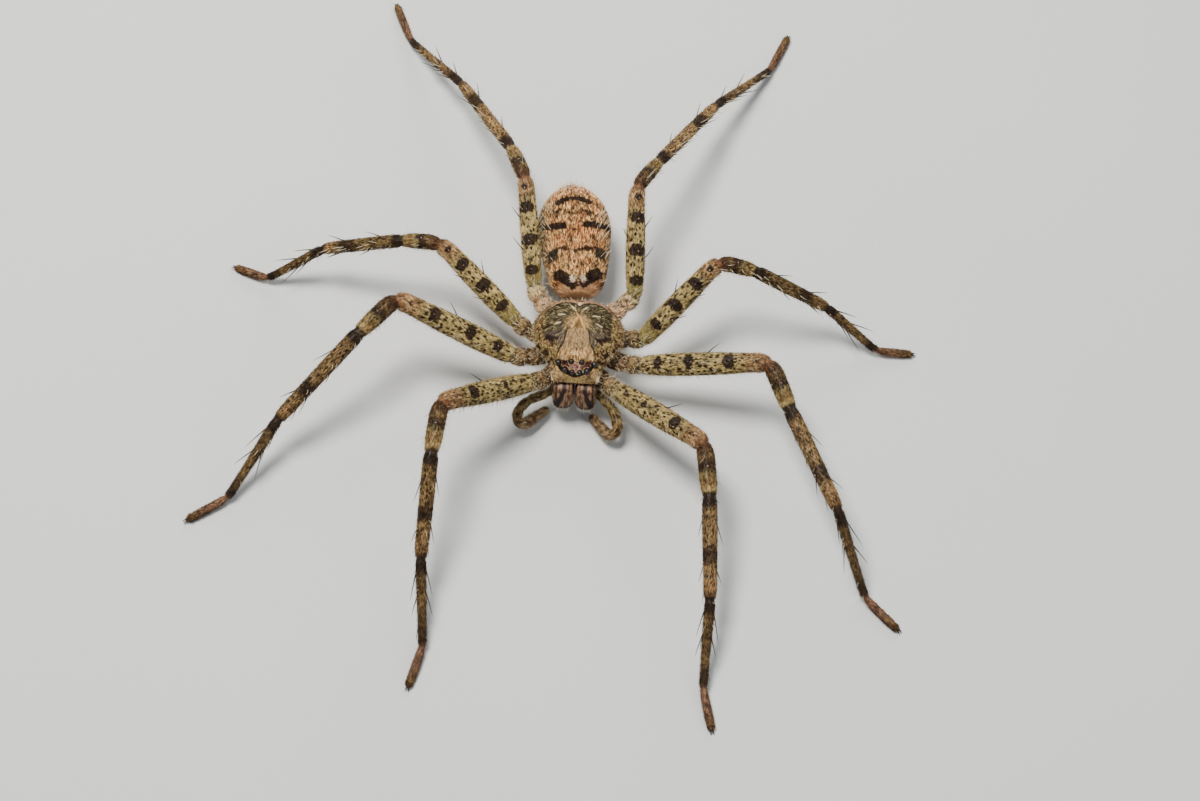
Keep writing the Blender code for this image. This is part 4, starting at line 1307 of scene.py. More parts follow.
@dataclass(frozen=True)
class Carapace:
    """The shield over the front part of the body, with the eight eyes."""

    base = 3.7
    rim = 0.22
    squareness = 2.2
    steepness = 0.62
    undercut = 0.9
    sections = (
        (-3.36, 1.6, 3.98), (-3.3, 1.68, 4.36), (-3.14, 1.74, 4.74), (-2.9, 1.78, 5.0),
        (-2.6, 1.82, 5.22), (-2.3, 1.9, 5.42), (-1.9, 2.12, 5.62), (-1.4, 2.5, 5.78),
        (-0.8, 2.92, 5.87), (0.0, 3.22, 5.88), (0.7, 3.3, 5.82), (1.4, 3.2, 5.67),
        (2.1, 2.86, 5.38), (2.7, 2.36, 5.02), (3.1, 1.82, 4.6), (3.35, 1.2, 4.14),
    )
    eyes = {"am": ((0.27, -3.1), 0.17, 0.25), "al": ((0.8, -2.98), 0.23, 0.25),
            "pm": ((0.38, -2.5), 0.17, 0.25), "pl": ((1.3, -2.42), 0.21, 0.2)}
    fovea = 1.12
    depth = 0.07
    mask_arc = ((0, 0.2, 0.4, 0.6, 0.85, 1.0, 1.16, 1.31, 1.9),
                (0.03, 0.07, 0.15, 0.24, 0.34, 0.43, 0.575, 0.78, 0.7))
    ray_front = ((0, 1.2, 1.5, 2.2, 2.7, 3.3), (-1.6, -1.7, -0.85, -0.4, -0.3, 0.2))
    head_side = ((-3.4, -2.3, -1.75, -1.0, -0.1), (1.5, 1.3, 1.15, 0.9, 0.72))
    rear_line = ((0, 0.25, 0.7, 1.12, 1.64, 1.95, 2.3, 3.3), (2.02, 2.34, 2.56, 2.56, 2.42, 2.18, 1.8, 0.4))
    dark = (
        ((0.58, 0.05), (0.8, -0.2), 0.05), ((0.8, -0.2), (0.88, -0.8), 0.05),
        ((0.88, -0.8), (0.95, -1.2), 0.045),
        ((0.95, -1.2), (1.22, -1.5), 0.05), ((1.22, -1.5), (1.34, -1.95), 0.06),
        ((0.2, -0.08), (0.2, -0.34), 0.035),
        ((0.0, -1.25), (0.0, -1.32), 0.06), ((0.0, -1.6), (0.0, -1.68), 0.06),
        ((0.0, -0.5), (0.0, -2.1), 0.012),
        ((2.08, 0.34), (2.45, 0.22), 0.075), ((1.96, 1.5), (2.18, 1.42), 0.06),
        ((2.25, -0.28), (2.66, -0.46), 0.035),
        ((2.62, 1.3), (2.78, 1.0), 0.05), ((1.55, 1.75), (1.9, 1.9), 0.04), ((1.3, 0.9), (1.95, 0.95), 0.03),
        ((2.6, -1.0), (2.8, -0.7), 0.06), ((2.0, -1.6), (2.3, -1.3), 0.1), ((1.8, -2.1), (2.1, -1.85), 0.07))
    face_dark = (((0.72, -0.08), (1.05, -0.16), 0.04), ((1.05, -0.16), (1.42, -0.27), 0.04),
                 ((0.3, -0.2), (0.34, -0.21), 0.03),
                 ((1.5, 0.75), (1.75, 1.25), 0.05), ((1.52, 0.2), (1.5, 0.6), 0.03))
    pale = (((0.32, 1.75), (0.04, 1.12), 0.03), ((0.04, 1.12), (0.27, 0.55), 0.06),
            ((0.27, 0.55), (0.43, 0.06), 0.085))
    white = (((0.6, 2.14), (0.32, 1.78), 0.06), ((1.02, 1.2), (1.5, 1.25), 0.05),
             ((1.3, 0.52), (1.7, 0.36), 0.055),
             ((1.06, -2.12), (1.2, -2.28), 0.07), ((0.0, 2.36), (0.0, 2.5), 0.12),
             ((0.85, 2.35), (1.2, 2.42), 0.02))
    # White marks on the face. The first is a pale mark at the face's side. The two on the front median and
    # lateral eyes are painted reflections of those eyes.
    face_white = (((1.71, 0.08), (1.58, -0.27), 0.07), ((0.62, 0.5), (0.78, 0.62), 0.08),
                  ((0.2, 0.3), (0.24, 0.4), 0.07))
    purple = (((1.48, -0.76), (1.86, -0.74), 0.15), ((1.86, -0.74), (2.2, -0.45), 0.15),
              ((1.7, -0.9), (1.75, -0.95), 0.12))

    def top(self, x: Points, y: Points) -> Points:
        """Height of the upper surface: a rounded arch whose rise over the rim is the section's,
        times a power of what is left of the way to the edge."""
        stations, halves, tops = zip(*self.sections)
        half, top = smooth(stations, halves, y), smooth(stations, tops, y)
        share = np.minimum(np.abs(x) / half, 1.0)
        rise = (1 - share ** self.squareness) ** self.steepness
        return self.base + self.rim + (top - self.base - self.rim) * rise

    def relief(self, x: Points, y: Points) -> Points:
        """How far the skin is drawn in: the pit behind the head, and the furrows that part the head
        and run out from the pit."""
        behind = y - self.fovea
        pit = 0.16 * np.exp(-(x / 0.12) ** 2 - (behind / 0.4) ** 2)
        reach = np.hypot(x, behind)
        turn = np.arctan2(np.abs(x), behind)
        furrows = sum(bell((turn - angle) * reach, 0.12) for angle in (0.5, 1.1, 1.7, 2.35))
        spread = np.clip(reach / 0.8, 0, 1) * np.clip((2.9 - reach) / 0.8, 0, 1)
        return pit + 0.05 * furrows * spread

    def eye_place(self, eye: str, side: Side) -> tuple[Points, float, Points]:
        """An eye's centre, its radius and the way it looks, square to the upper surface."""
        (x, y), radius, sunk = self.eyes[eye]
        step = 0.05
        rise_x = float(self.top(x + step, y) - self.top(x - step, y)) / (2 * step)
        rise_y = float(self.top(x, y + step) - self.top(x, y - step)) / (2 * step)
        outward = unit(np.array((-rise_x, -rise_y, 1.0)))
        centre = np.array((x, y, float(self.top(x, y)))) - outward * radius * sunk
        flip = np.array((side.value, 1, 1))
        return centre * flip, radius, outward * flip

    def skin(self) -> Skin:
        """The shield's skin: an arch over a flat underside at each place along the body."""
        rows = np.linspace(self.sections[0][0], self.sections[-1][0], 130)
        arch = np.linspace(0, math.pi, 150)
        floor = np.linspace(math.pi, 2 * math.pi, 26)[1:-1]
        half = smooth(*list(zip(*self.sections))[:2], rows)[:, None]
        y = rows[:, None] + np.zeros((1, len(arch)))
        x = half * np.cos(arch)
        over = np.stack([x, y, self.top(x, y)], -1)
        under_y = rows[:, None] + np.zeros((1, len(floor)))
        under = np.stack([half * self.undercut * np.cos(floor), under_y,
                          self.base + self.rim * 0.4 * np.abs(np.cos(floor)) ** 6 + np.zeros_like(under_y)],
                          -1)
        points = np.concatenate([over, under], axis=1)
        above = points[..., 2] > self.base + self.rim
        points = sunk(points, self.depth + self.relief(points[..., 0], points[..., 1]) * above)
        x, y = points[..., 0], points[..., 1]
        lie = np.stack([x, y - self.fovea, np.zeros_like(x)], -1)
        return Skin("carapace_skin", points, self.fields(points), 1, lie)

    def fields(self, points: Points) -> dict[str, Points]:
        """What the shield's markings read: rays out of the pit, and signed distances to the
        regions and strokes. `front` is a height that falls along the top and down the face."""
        x, y = points[..., 0] + 0.06, points[..., 1]
        across, front = np.abs(x), 0.8 * points[..., 1] + 0.6 * points[..., 2]
        behind = y - self.fovea
        reach = np.hypot(x, behind)
        radial = np.stack([x / np.maximum(reach, 0.05) * 2.4, behind / np.maximum(reach, 0.05) * 2.4,
                           reach * 0.3], -1)
        arc = front - smooth(*self.mask_arc, np.minimum(across, 1.9))
        zone = np.maximum(across - 2.42, np.interp(across, *self.ray_front) - y)
        head = np.maximum(across - np.interp(y, *self.head_side), y - 0.02)
        eye = np.full(x.shape, 9.0)
        for name in self.eyes:
            for side in Side:
                centre, radius, _ = self.eye_place(name, side)
                eye = np.minimum(eye, np.linalg.norm(points - centre, axis=-1) - radius)
        half = smooth(*list(zip(*self.sections))[:2], y)
        drop = 9.0 * (points[..., 2] < self.base + 0.1)
        return {
            "place": points.copy(), "radial": radial, "arc": arc,
            "mask": np.maximum.reduce([-arc, front - 1.2, (across - 1.42) * 0.7]) + drop, "zone": zone,
            "head": head,
            "rear": np.interp(across, *self.rear_line) - y, "halo": np.hypot(x * 0.82, y - 0.5) - 0.72,
            "core": np.maximum(across - 0.36 * (0.95 - y), -0.02 - y),
            "dark": np.minimum(to_strokes(across, y, self.dark),
                               to_strokes(across, front, self.face_dark)) + drop,
            "pale": to_strokes(across, y, self.pale) + drop,
            "purple": to_strokes(across, y, self.purple) + drop,
            "white": np.minimum(to_strokes(across, y, self.white),
                                to_strokes(across, front, self.face_white)) + drop,
            "eye": eye, "edge": np.minimum(half - across, (self.sections[-1][0] - y) * 0.8)}

    def hairs(self) -> list[Hair]:
        """Short fur that points away from the pit, fans over the hind eyes, and long side hairs."""

        def fur(fields: dict) -> Points:
            """On the upper side, thin round the eyes."""
            place = fields["place"]
            open_skin = np.clip(fields["eye"] / 0.12, 0, 1) * (place[..., 2] > self.base + 0.1)
            return open_skin * np.where(fields["mask"] < 0, 0.35, 1.0)

        def fans(fields: dict) -> Points:
            """Two patches above and behind the outer hind eyes, and one between."""
            place = fields["place"]
            x, y = np.abs(place[..., 0]), place[..., 1]
            outer = bell(np.hypot(x - 1.05, y + 2.1), 0.28)
            inner = bell(np.hypot(x - 0.35, y + 2.05), 0.22)
            return (outer + 0.7 * inner) * np.clip(fields["eye"] / 0.1, 0, 1) * (fields["mask"] > -0.05)

        def rim(fields: dict) -> Points:
            """Along the shield's edge."""
            return bell(fields["edge"] - 0.15, 0.15) * (fields["place"][..., 2] > self.base + 0.1)

        return [
            Hair(7400, 0.14, 0.25, 0.05, 18, 5, 12, Hairs.FUR, 61, fur),
            Hair(520, 0.26, 0.42, 0.045, 34, 20, 16, Hairs.FUR, 62, fans),
            Hair(160, 0.3, 0.55, 0.03, 50, 40, 25, Hairs.SETA, 63, rim),
        ]

    def build(self, materials: Materials) -> None:
        """Make the shield's skin and coat, and the eyes."""
        put_on(self.skin(), materials, "carapace", ("carapace",), self.hairs())
        for eye in self.eyes:
            for side in Side:
                self.build_eye(eye, side, materials)

    def build_eye(self, eye: str, side: Side, materials: Materials) -> None:
        """A round ball, turned the way the eye looks."""
        centre, radius, outward = self.eye_place(eye, side)
        across = unit(np.cross(outward, (0.0, 0.0, 1.0)))
        axes = np.array((outward, across, np.cross(across, outward))) * radius * 0.985
        points, tip = ball(centre, *axes, 26, 0.04)
        put_on(Skin(f"eye_{eye}_{side.word}_lens", points, {"tip": tip}), materials, "eye",
               (f"eye_{eye}_{side.word}",))


def carapace_markings(shared: SharedGroups) -> Markings:
    """Pale rays on a dark rear half, mottled sides, the tan head, the bright pit with its arms,
    orange hair over the eyes, the black-rimmed mask and a pale rim."""
    graph = Markings("carapace", shared,
                     ("mask", "arc", "zone", "head", "rear", "halo", "core", "dark", "pale",
                                          "purple", "white", "eye", "edge"), ("place", "radial"))
    take = graph.take
    x, forward, _ = graph.split(graph.place)
    wide = graph.math("ABSOLUTE", graph.plus(x, 0.06))
    rays = graph.cloud(3.6, 3.0, 0.62, at=take["Radial"])
    fine_rays = graph.cloud(9.0, 2.0, 0.55, at=take["Radial"])
    clouds = graph.cloud(2.3, 4.0, 0.62)
    spots = graph.cloud(5.5, 3.0, 0.6)
    lines = graph.cloud(1.0, 3.0, 0.6, (5.6, 0.5, 0.6))

    def paint(color: object, key: str, tone: object, share: object, edge: float, width: float,
              ragged: float = 0.12, scale: float = 4.0) -> Socket:
        """Lay a tone where a field is under an edge."""
        return graph.over_by(graph.edge(take[key], edge, width, ragged, scale), share, color, tone)

    def near(value: object, centre: float, half: float) -> Socket:
        """One within half a band's width of a value, and nought outside."""
        return graph.step(graph.away(value, centre), half * 0.7, half * 1.3, 1.0, 0.0)

    dark_rays = graph.blend(rays, 0.46, 0.66, (0.028, 0.02, 0.011), (0.085, 0.07, 0.036))
    dark_rays = graph.mix(graph.step(forward, 0.3, -0.5, 0.0, 0.6), dark_rays, (0.13, 0.095, 0.075))
    dark_rays = graph.mix(graph.step(fine_rays, 0.52, 0.66, 0.0, 0.85), dark_rays, (0.42, 0.34, 0.16))
    side = graph.blend(clouds, 0.46, 0.52, (0.075, 0.032, 0.018), (0.24, 0.17, 0.065))
    side = graph.mix(graph.step(spots, 0.48, 0.58, 0.0, 0.85), side, (0.58, 0.4, 0.17))
    side = graph.mix(graph.step(spots, 0.42, 0.35, 0.0, 0.8), side, (0.045, 0.02, 0.01))
    color = paint(side, "Zone", dark_rays, 0.95, 0.0, 0.12, 0.9, 2.6)
    tan = graph.blend(lines, 0.36, 0.56, (0.13, 0.075, 0.038), (0.4, 0.245, 0.105))
    tan = graph.mix(graph.step(spots, 0.42, 0.64, 0.0, 0.5), tan, (0.5, 0.33, 0.17))
    color = paint(color, "Head", tan, 0.92, 0.0, 0.06)
    bright = graph.blend(fine_rays, 0.35, 0.6, (0.3, 0.2, 0.09), (0.68, 0.42, 0.17))
    color = paint(color, "Halo", bright, 0.8, 0.0, 0.3, 0.7, 2.0)
    color = paint(color, "Core", (0.17, 0.088, 0.026), 0.85, 0.0, 0.06)
    fan = graph.times(graph.step(forward, -1.35, -1.95), graph.step(wide, 1.2, 1.4, 1.0, 0.0))
    amber = graph.mix(graph.step(graph.cloud(1.4, stretch=(7.0, 2.0, 2.0)), 0.4, 0.6),
                      (0.33, 0.15, 0.055), (0.98, 0.66, 0.3))
    color = graph.over_by(fan, 0.85, color, amber)
    color = paint(color, "Dark", (0.02, 0.009, 0.005), 0.92, 0.0, 0.035, 0.1, 6.0)
    color = paint(color, "Pale", (0.75, 0.42, 0.15), 0.9, 0.0, 0.04)
    color = paint(color, "Purple", (0.02, 0.007, 0.009), 0.94, 0.0, 0.07, 0.3)
    pale_rim = graph.blend(spots, 0.4, 0.6, (0.3, 0.17, 0.09), (0.62, 0.36, 0.2))
    color = paint(color, "Rear", pale_rim, graph.step(wide, 1.8, 2.3, 0.9, 0.2), -0.1, 0.04)
    slope = graph.blend(spots, 0.42, 0.56, (0.06, 0.03, 0.016), (0.3, 0.19, 0.09))
    color = paint(color, "Rear", slope, 0.9, -0.5, 0.1, 0.4)
    color = graph.over_by(near(take["Rear"], 0.0, 0.075), graph.step(wide, 2.0, 2.3, 0.95, 0.0), color,
                          (0.017, 0.01, 0.006))
    color = paint(color, "Edge", pale_rim, graph.step(forward, 1.2, 2.4, 0.45, 0.85), 0.09, 0.04, 0.1)
    face = graph.blend(spots, 0.38, 0.6, (0.25, 0.15, 0.07), (0.6, 0.4, 0.18))
    face = graph.mix(graph.step(wide, 0.9, 0.3, 0.0, 0.5), face, (0.6, 0.45, 0.17))
    color = paint(color, "Arc", face, graph.step(forward, -2.5, -2.8), 0.0, 0.03, 0.05)
    color = graph.over_by(near(take["Arc"], -0.07, 0.035), graph.step(wide, 1.3, 1.5, 0.85, 0.0), color,
                          (0.72, 0.4, 0.12))
    lobes = graph.blend(spots, 0.38, 0.62, (0.02, 0.008, 0.006), (0.095, 0.04, 0.028))
    pink = graph.mix(graph.step(graph.cloud(7.0), 0.4, 0.62), (0.12, 0.045, 0.036), (0.4, 0.22, 0.18))
    color = paint(color, "Mask", graph.blend(wide, 0.3, 0.5, pink, lobes), 1.0, 0.0, 0.035, 0.08, 6.0)
    black = graph.over_by(near(take["Arc"], 0.14, 0.18), graph.step(wide, 1.34, 1.46, 1.0, 0.0), color,
                          (0.006, 0.003, 0.002))
    # White marks. The two on the front eyes are painted reflections, and the rest are pale marks of the
    # shield.
    color = paint(black, "White", (0.85, 0.72, 0.46), 0.88, 0.0, 0.045, 0.14, 6.0)
    color = graph.mix(graph.step(take["Eye"], 0.015, 0.05, 0.88, 0.0), color, (0.01, 0.005, 0.004))
    ring = graph.times(near(take["Eye"], 0.08, 0.022), graph.step(take["Arc"], 0.35, 0.45, 0.0, 0.85))
    color = graph.mix(ring, color, (0.55, 0.32, 0.14))
    return graph.done(color, graph.plus(graph.grain(11.0), graph.times(fine_rays, 0.7)))


@dataclass(frozen=True)
class Abdomen:
    """The hind part of the body."""

    front = (-0.22, 3.98, 3.35)
    rear = (-1.28, 13.6, 2.9)
    sections = (
        (0.0, 0.9, 0.75, 0.6), (0.03, 1.4, 1.15, 1.0), (0.1, 1.86, 1.5, 1.5), (0.22, 2.2, 1.78, 1.9),
        (0.4, 2.5, 2.0, 2.15), (0.6, 2.68, 2.1, 2.15), (0.76, 2.45, 1.95, 1.8), (0.88, 1.86, 1.55, 1.25),
        (0.96, 1.08, 0.95, 0.7), (1.0, 0.45, 0.4, 0.3),
    )
    depth = 0.09
    dimples = ((0.62, 0.3), (0.75, 0.45), (0.7, 0.6))
    bars = (((-2.75, 0.6), (-1.9, 0.545), 0.2), ((-1.9, 0.545), (-0.9, 0.52), 0.28),
            ((0.75, 0.525), (1.6, 0.54), 0.28),
            ((1.6, 0.54), (2.5, 0.565), 0.22),
            ((-1.2, 0.752), (-0.5, 0.772), 0.27), ((-0.6, 0.772), (0.5, 0.77), 0.2),
            ((0.45, 0.77), (1.1, 0.75), 0.27),
            ((-1.45, 0.14), (-1.0, 0.1), 0.36), ((-1.0, 0.095), (-0.4, 0.05), 0.36),
            ((-0.4, 0.034), (0.4, 0.034), 0.09),
            ((1.5, 0.145), (1.0, 0.11), 0.38), ((1.0, 0.1), (0.4, 0.055), 0.36))
    waves = (((-1.75, 0.34), (-0.9, 0.335)), ((-0.9, 0.335), (-0.1, 0.3)), ((-0.1, 0.3), (0.74, 0.325)),
             ((0.74, 0.325), (1.6, 0.34)), ((-1.55, 0.645), (-1.0, 0.67)), ((0.8, 0.655), (1.4, 0.635)),
             ((-0.55, 0.64), (-0.1, 0.62)), ((-0.1, 0.62), (0.4, 0.635)))
    wave_half = 0.1
    greys = ((-1.78, 0.3, 0.4), (1.72, 0.31, 0.4))
    specks = ((-0.9, 0.335, 0.24), (-0.12, 0.3, 0.2), (0.74, 0.325, 0.25), (-1.3, 0.66, 0.17),
              (1.1, 0.645, 0.18), (-0.1, 0.48, 0.15))
    tufts = ((-0.35, 0.068, 0.15), (0.4, 0.068, 0.15))

    def axes(self) -> tuple[Points, Points, Points, Points, float]:
        """Front end, and the axis's direction, the side one and the upward one, with its length."""
        front, rear = np.array(self.front), np.array(self.rear)
        run = float(np.linalg.norm(rear - front))
        along = (rear - front) / run
        side = unit(np.cross(along, (0.0, 0.0, 1.0)))
        return front, along, side, np.cross(side, along), run

    def skin(self) -> Skin:
        """An egg whose rings are ovals with unlike upper and lower halves, a little dimpled
        above where its muscles hold the skin."""
        front, along, side, up, run = self.axes()
        share = 0.5 - 0.5 * np.cos(np.linspace(0.02, math.pi - 0.02, 150))
        angles = turns(110)
        stations, halves, above, below = zip(*self.sections)
        half = smooth(stations, halves, share)[:, None] * np.cos(angles)
        tall = np.where(np.sin(angles) > 0, smooth(stations, above, share)[:, None],
                        smooth(stations, below, share)[:, None])
        tall = tall * np.sin(angles)
        ahead = np.broadcast_to((share * run)[:, None], half.shape)
        points = front + ahead[..., None] * along + half[..., None] * side + tall[..., None] * up
        dimples = sum(bell(np.hypot(np.abs(half) - x, ahead - t * run), 0.2) for x, t in self.dimples)
        depth = self.depth + 0.07 * dimples * (tall > 0)
        points = sunk(points, depth)
        place = np.stack([half, ahead, tall], -1)
        return Skin("abdomen_skin", points, self.fields(place, run))

    def fields(self, place: Points, run: float) -> dict[str, Points]:
        """What the markings read: distance to the dark bars, the grey squares, the specks and
        the white tufts, each seen from above."""
        x, ahead = place[..., 0], place[..., 1]

        def to_spots(spots: tuple) -> Points:
            """Distance to the nearest of round spots."""
            return np.minimum.reduce([np.hypot(x - cx, ahead - t * run) - r for cx, t, r in spots])

        under = np.where(place[..., 2] < -0.3, 9.0, 0.0)
        grey = np.minimum.reduce([np.maximum(np.abs(x - cx), np.abs(ahead - t * run) * 0.85) - r
                                  for cx, t, r in self.greys])
        bars = to_strokes(x, ahead,
                          tuple(((a, b * run), (c, d * run), half) for (a, b), (c, d), half in self.bars))
        waves = to_strokes(x, ahead,
                           tuple(((a, b * run), (c, d * run), self.wave_half)
                                 for (a, b), (c, d) in self.waves))
        return {"place": place, "bar": bars + under, "wave": waves + under, "grey": grey + under,
                "speck": to_spots(self.specks) + under,
                "white": to_spots(self.tufts) + under}

    def hairs(self) -> list[Hair]:
        """Dense short fur that lies backwards, two white tufts, and pale hairs round the rear."""

        def fur(fields: dict) -> Points:
            """All over, but for the bare band in front."""
            return np.clip((fields["place"][..., 1] - 0.55) / 0.4, 0.02, 1)

        def white(fields: dict) -> Points:
            """The two tufts near the front."""
            return np.clip(-fields["white"] + 0.06, 0, 0.2)

        def outline(fields: dict) -> Points:
            """Sides and rear."""
            place = fields["place"]
            side = np.clip(np.abs(place[..., 0]) / 2.6 - 0.5, 0, 1) * (place[..., 2] > -0.8)
            return side * np.clip(place[..., 1] / 9.7, 0.2, 1) + np.clip(place[..., 1] - 8.2, 0, 1) * 0.8

        def rest(fields: dict) -> Points:
            """Scattered over the back."""
            return (fields["place"][..., 2] > 0) * 1.0

        return [
            Hair(14500, 0.26, 0.42, 0.068, 18, 5, 12, Hairs.FUR, 71, fur),
            Hair(60, 0.26, 0.42, 0.045, 44, 34, 40, Hairs.SETA, 72, white),
            Hair(420, 0.45, 0.85, 0.04, 48, 42, 14, Hairs.SETA, 73, outline),
            Hair(900, 0.3, 0.5, 0.04, 34, 24, 14, Hairs.FUR, 74, rest),
        ]

    def build(self, materials: Materials) -> None:
        """Make the abdomen's skin and coat."""
        put_on(self.skin(), materials, "abdomen", ("abdomen",), self.hairs())


def abdomen_markings(shared: SharedGroups) -> Markings:
    """Cream streaks on orange-brown, a bare front band, grey sides, a pale belly, dark bars,
    brown waves, grey squares, specks and two white tufts."""
    graph = Markings("abdomen", shared, ("bar", "wave", "grey", "speck", "white"))
    x, ahead, high = graph.split(graph.place)
    turned = graph.add("ShaderNodeCombineXYZ", {0: ahead, 1: x, 2: high}).outputs[0]
    streaks = graph.streaks(Place=turned, Fine=4.2, Drawn=0.4)
    clouds = graph.cloud(1.0, 4.0, 0.6)
    color = graph.blend(clouds, 0.4, 0.62, (0.1, 0.044, 0.019), (0.25, 0.086, 0.032))
    cream = graph.step(graph.cloud(1.6, 3.0, 0.6), 0.34, 0.6, 0.25, 0.95)
    color = graph.over_by(streaks["Mask"], cream, color, (0.85, 0.5, 0.2))
    blush = graph.step(graph.away(ahead, 4.2), 0.5, 1.3, 0.6, 0.0)
    color = graph.over_by(blush, graph.step(clouds, 0.36, 0.56), color, (0.42, 0.15, 0.05))
    fine = graph.cloud(6.5, 2.0, 0.6, (0.3, 1.0, 1.0), turned)
    color = graph.mix(graph.step(fine, 0.48, 0.38, 0.0, 0.85), color, (0.022, 0.01, 0.006))
    side = graph.step(graph.math("ABSOLUTE", x), 1.75, 2.4)
    flank = graph.mix(graph.step(graph.cloud(2.8, 4.0, 0.6), 0.44, 0.58), (0.028, 0.022, 0.012),
                      (0.3, 0.19, 0.085))
    color = graph.over_by(side, 0.8, color, flank)
    rear = graph.blend(streaks["Mask"], 0.3, 0.7, (0.25, 0.1, 0.045), (0.75, 0.42, 0.22))
    color = graph.mix(graph.step(ahead, 7.7, 8.5, 0.0, 0.75), color, rear)
    color = graph.mix(graph.step(ahead, 9.0, 9.6, 0.0, 0.6), color, (0.16, 0.08, 0.04))
    belly = graph.blend(clouds, 0.4, 0.6, (0.16, 0.105, 0.05), (0.3, 0.21, 0.11))
    color = graph.mix(graph.step(high, -0.2, -0.9, 0.0, 0.85), color, belly)
    bare = graph.blend(ahead, 0.25, 0.75, (0.5, 0.28, 0.14), (0.15, 0.06, 0.023))
    bare = graph.mix(graph.step(graph.cloud(3.0, 3.0), 0.4, 0.65, 0.0, 0.5), bare, (0.3, 0.15, 0.065))
    band = graph.edge(graph.less(ahead, graph.times(graph.times(x, x), 0.16)), 0.55, 0.12, 0.3, 2.0)
    color = graph.mix(band, color, bare)
    marks = (("Wave", 0.07, 0.24, 0.93, (0.022, 0.009, 0.005)),
             ("Grey", 0.08, 0.26, 0.94, (0.013, 0.012, 0.008)),
             ("Speck", 0.06, 0.2, 0.9, (0.014, 0.007, 0.005)),
             ("Bar", 0.06, 0.3, 0.97, (0.009, 0.004, 0.003)),
             ("White", 0.08, 0.35, 0.85, (0.6, 0.33, 0.2)))
    for key, width, ragged, share, tone in marks:
        color = graph.over_by(graph.edge(graph.take[key], 0.0, width, ragged, 4.0), share, color, tone)
    return graph.done(color, streaks["Height"])


@dataclass(frozen=True)
class Underside:
    """Sternum, lip and mouth plates between the legs."""

    top = 3.52
    sections = (
        (-2.5, 0.7, 2.75), (-1.9, 1.2, 2.3), (-1.0, 1.7, 2.06), (0.0, 1.85, 2.0),
        (1.0, 1.6, 2.04), (1.8, 1.15, 2.3), (2.5, 0.8, 2.7), (3.1, 0.5, 2.95),
    )
    lip = ((0.0, -2.2, 2.45), (0.42, 0.5, 0.36))
    plate = ((0.74, -2.2, 2.35), (0.44, 0.72, 0.48))
    depth = 0.08

    def skin(self) -> Skin:
        """The sternum: ovals between its top and its bottom at each place along the body."""
        rows = np.linspace(self.sections[0][0], self.sections[-1][0], 70)
        stations, halves, bottoms = zip(*self.sections)
        angles = turns(56)
        bottom = smooth(stations, bottoms, rows)[:, None]
        x = smooth(stations, halves, rows)[:, None] * np.cos(angles)
        z = (self.top + bottom) / 2 + (self.top - bottom) / 2 * np.sin(angles)
        points = np.stack([x, rows[:, None] + np.zeros_like(x), z], -1)
        points = sunk(points, self.depth)
        return Skin("sternum_skin", points, {"place": points.copy()})

    def egg(self, name: str, centre: tuple, radii: tuple) -> Skin:
        """An egg with unlike radii."""
        across, along, up = np.diag(radii) * 0.95
        points, _ = ball(np.asarray(centre), -along, across, up, 30, 0.05)
        return Skin(name, points, {"place": points.copy()})

    def build(self, materials: Materials) -> None:
        """Make the underside's skins and its fur."""
        fur = [Hair(2600, 0.16, 0.3, 0.04, 30, 18, 20, Hairs.FUR, 81),
               Hair(120, 0.35, 0.6, 0.03, 55, 45, 20, Hairs.SETA, 82)]
        put_on(self.skin(), materials, "sternum", ("sternum_coxae",), fur)
        put_on(self.egg("lip", *self.lip), materials, "sternum")
        for side in Side:
            (x, y, z), radii = self.plate
            plate = self.egg(f"mouth_plate_{side.word}", (side.value * x, y, z), radii)
            fringe = [Hair(260, 0.2, 0.34, 0.035, 40, 25, 25, Hairs.SETA, 83 + side.value)]
            put_on(plate, materials, "sternum", (), fringe, f"mouth_fringe_{side.word}")


@dataclass(frozen=True)
class Tube:
    """A tube of changing thickness along a line through joints."""

    name: str
    joints: tuple
    bend: float
    radii: tuple
    rows: int = 60
    around: int = 28
    depth: float = 0.04
    strips: int = 1
    flare: float = 0.0

    def skin(self) -> Skin:
        """Rings round the tube's centreline, drawn in a little at its joints and closed round
        at its end."""
        line = Centreline(self.joints, (self.bend,) * (len(self.joints) - 2))
        where = np.linspace(0, line.lengths[-1] * 0.998, self.rows)
        half = smooth(line.marks, self.radii, where)
        for mark in line.marks[1:-1]:
            half = half * (1 - self.flare * bell(where - mark, 0.14))
        left = np.clip((line.lengths[-1] - where) / (self.radii[-1] * 1.2), 0, 1)
        half = (half - self.depth) * np.sqrt(np.maximum(1 - (1 - left) ** 2, 0.01))
        points, place = rings(line, where, half, half, turns(self.around))
        part = np.broadcast_to(np.interp(where, line.marks, np.arange(len(line.marks)))[:, None],
                               place.shape[:2])
        return Skin(self.name, points, {"place": place, "part": part}, self.strips)


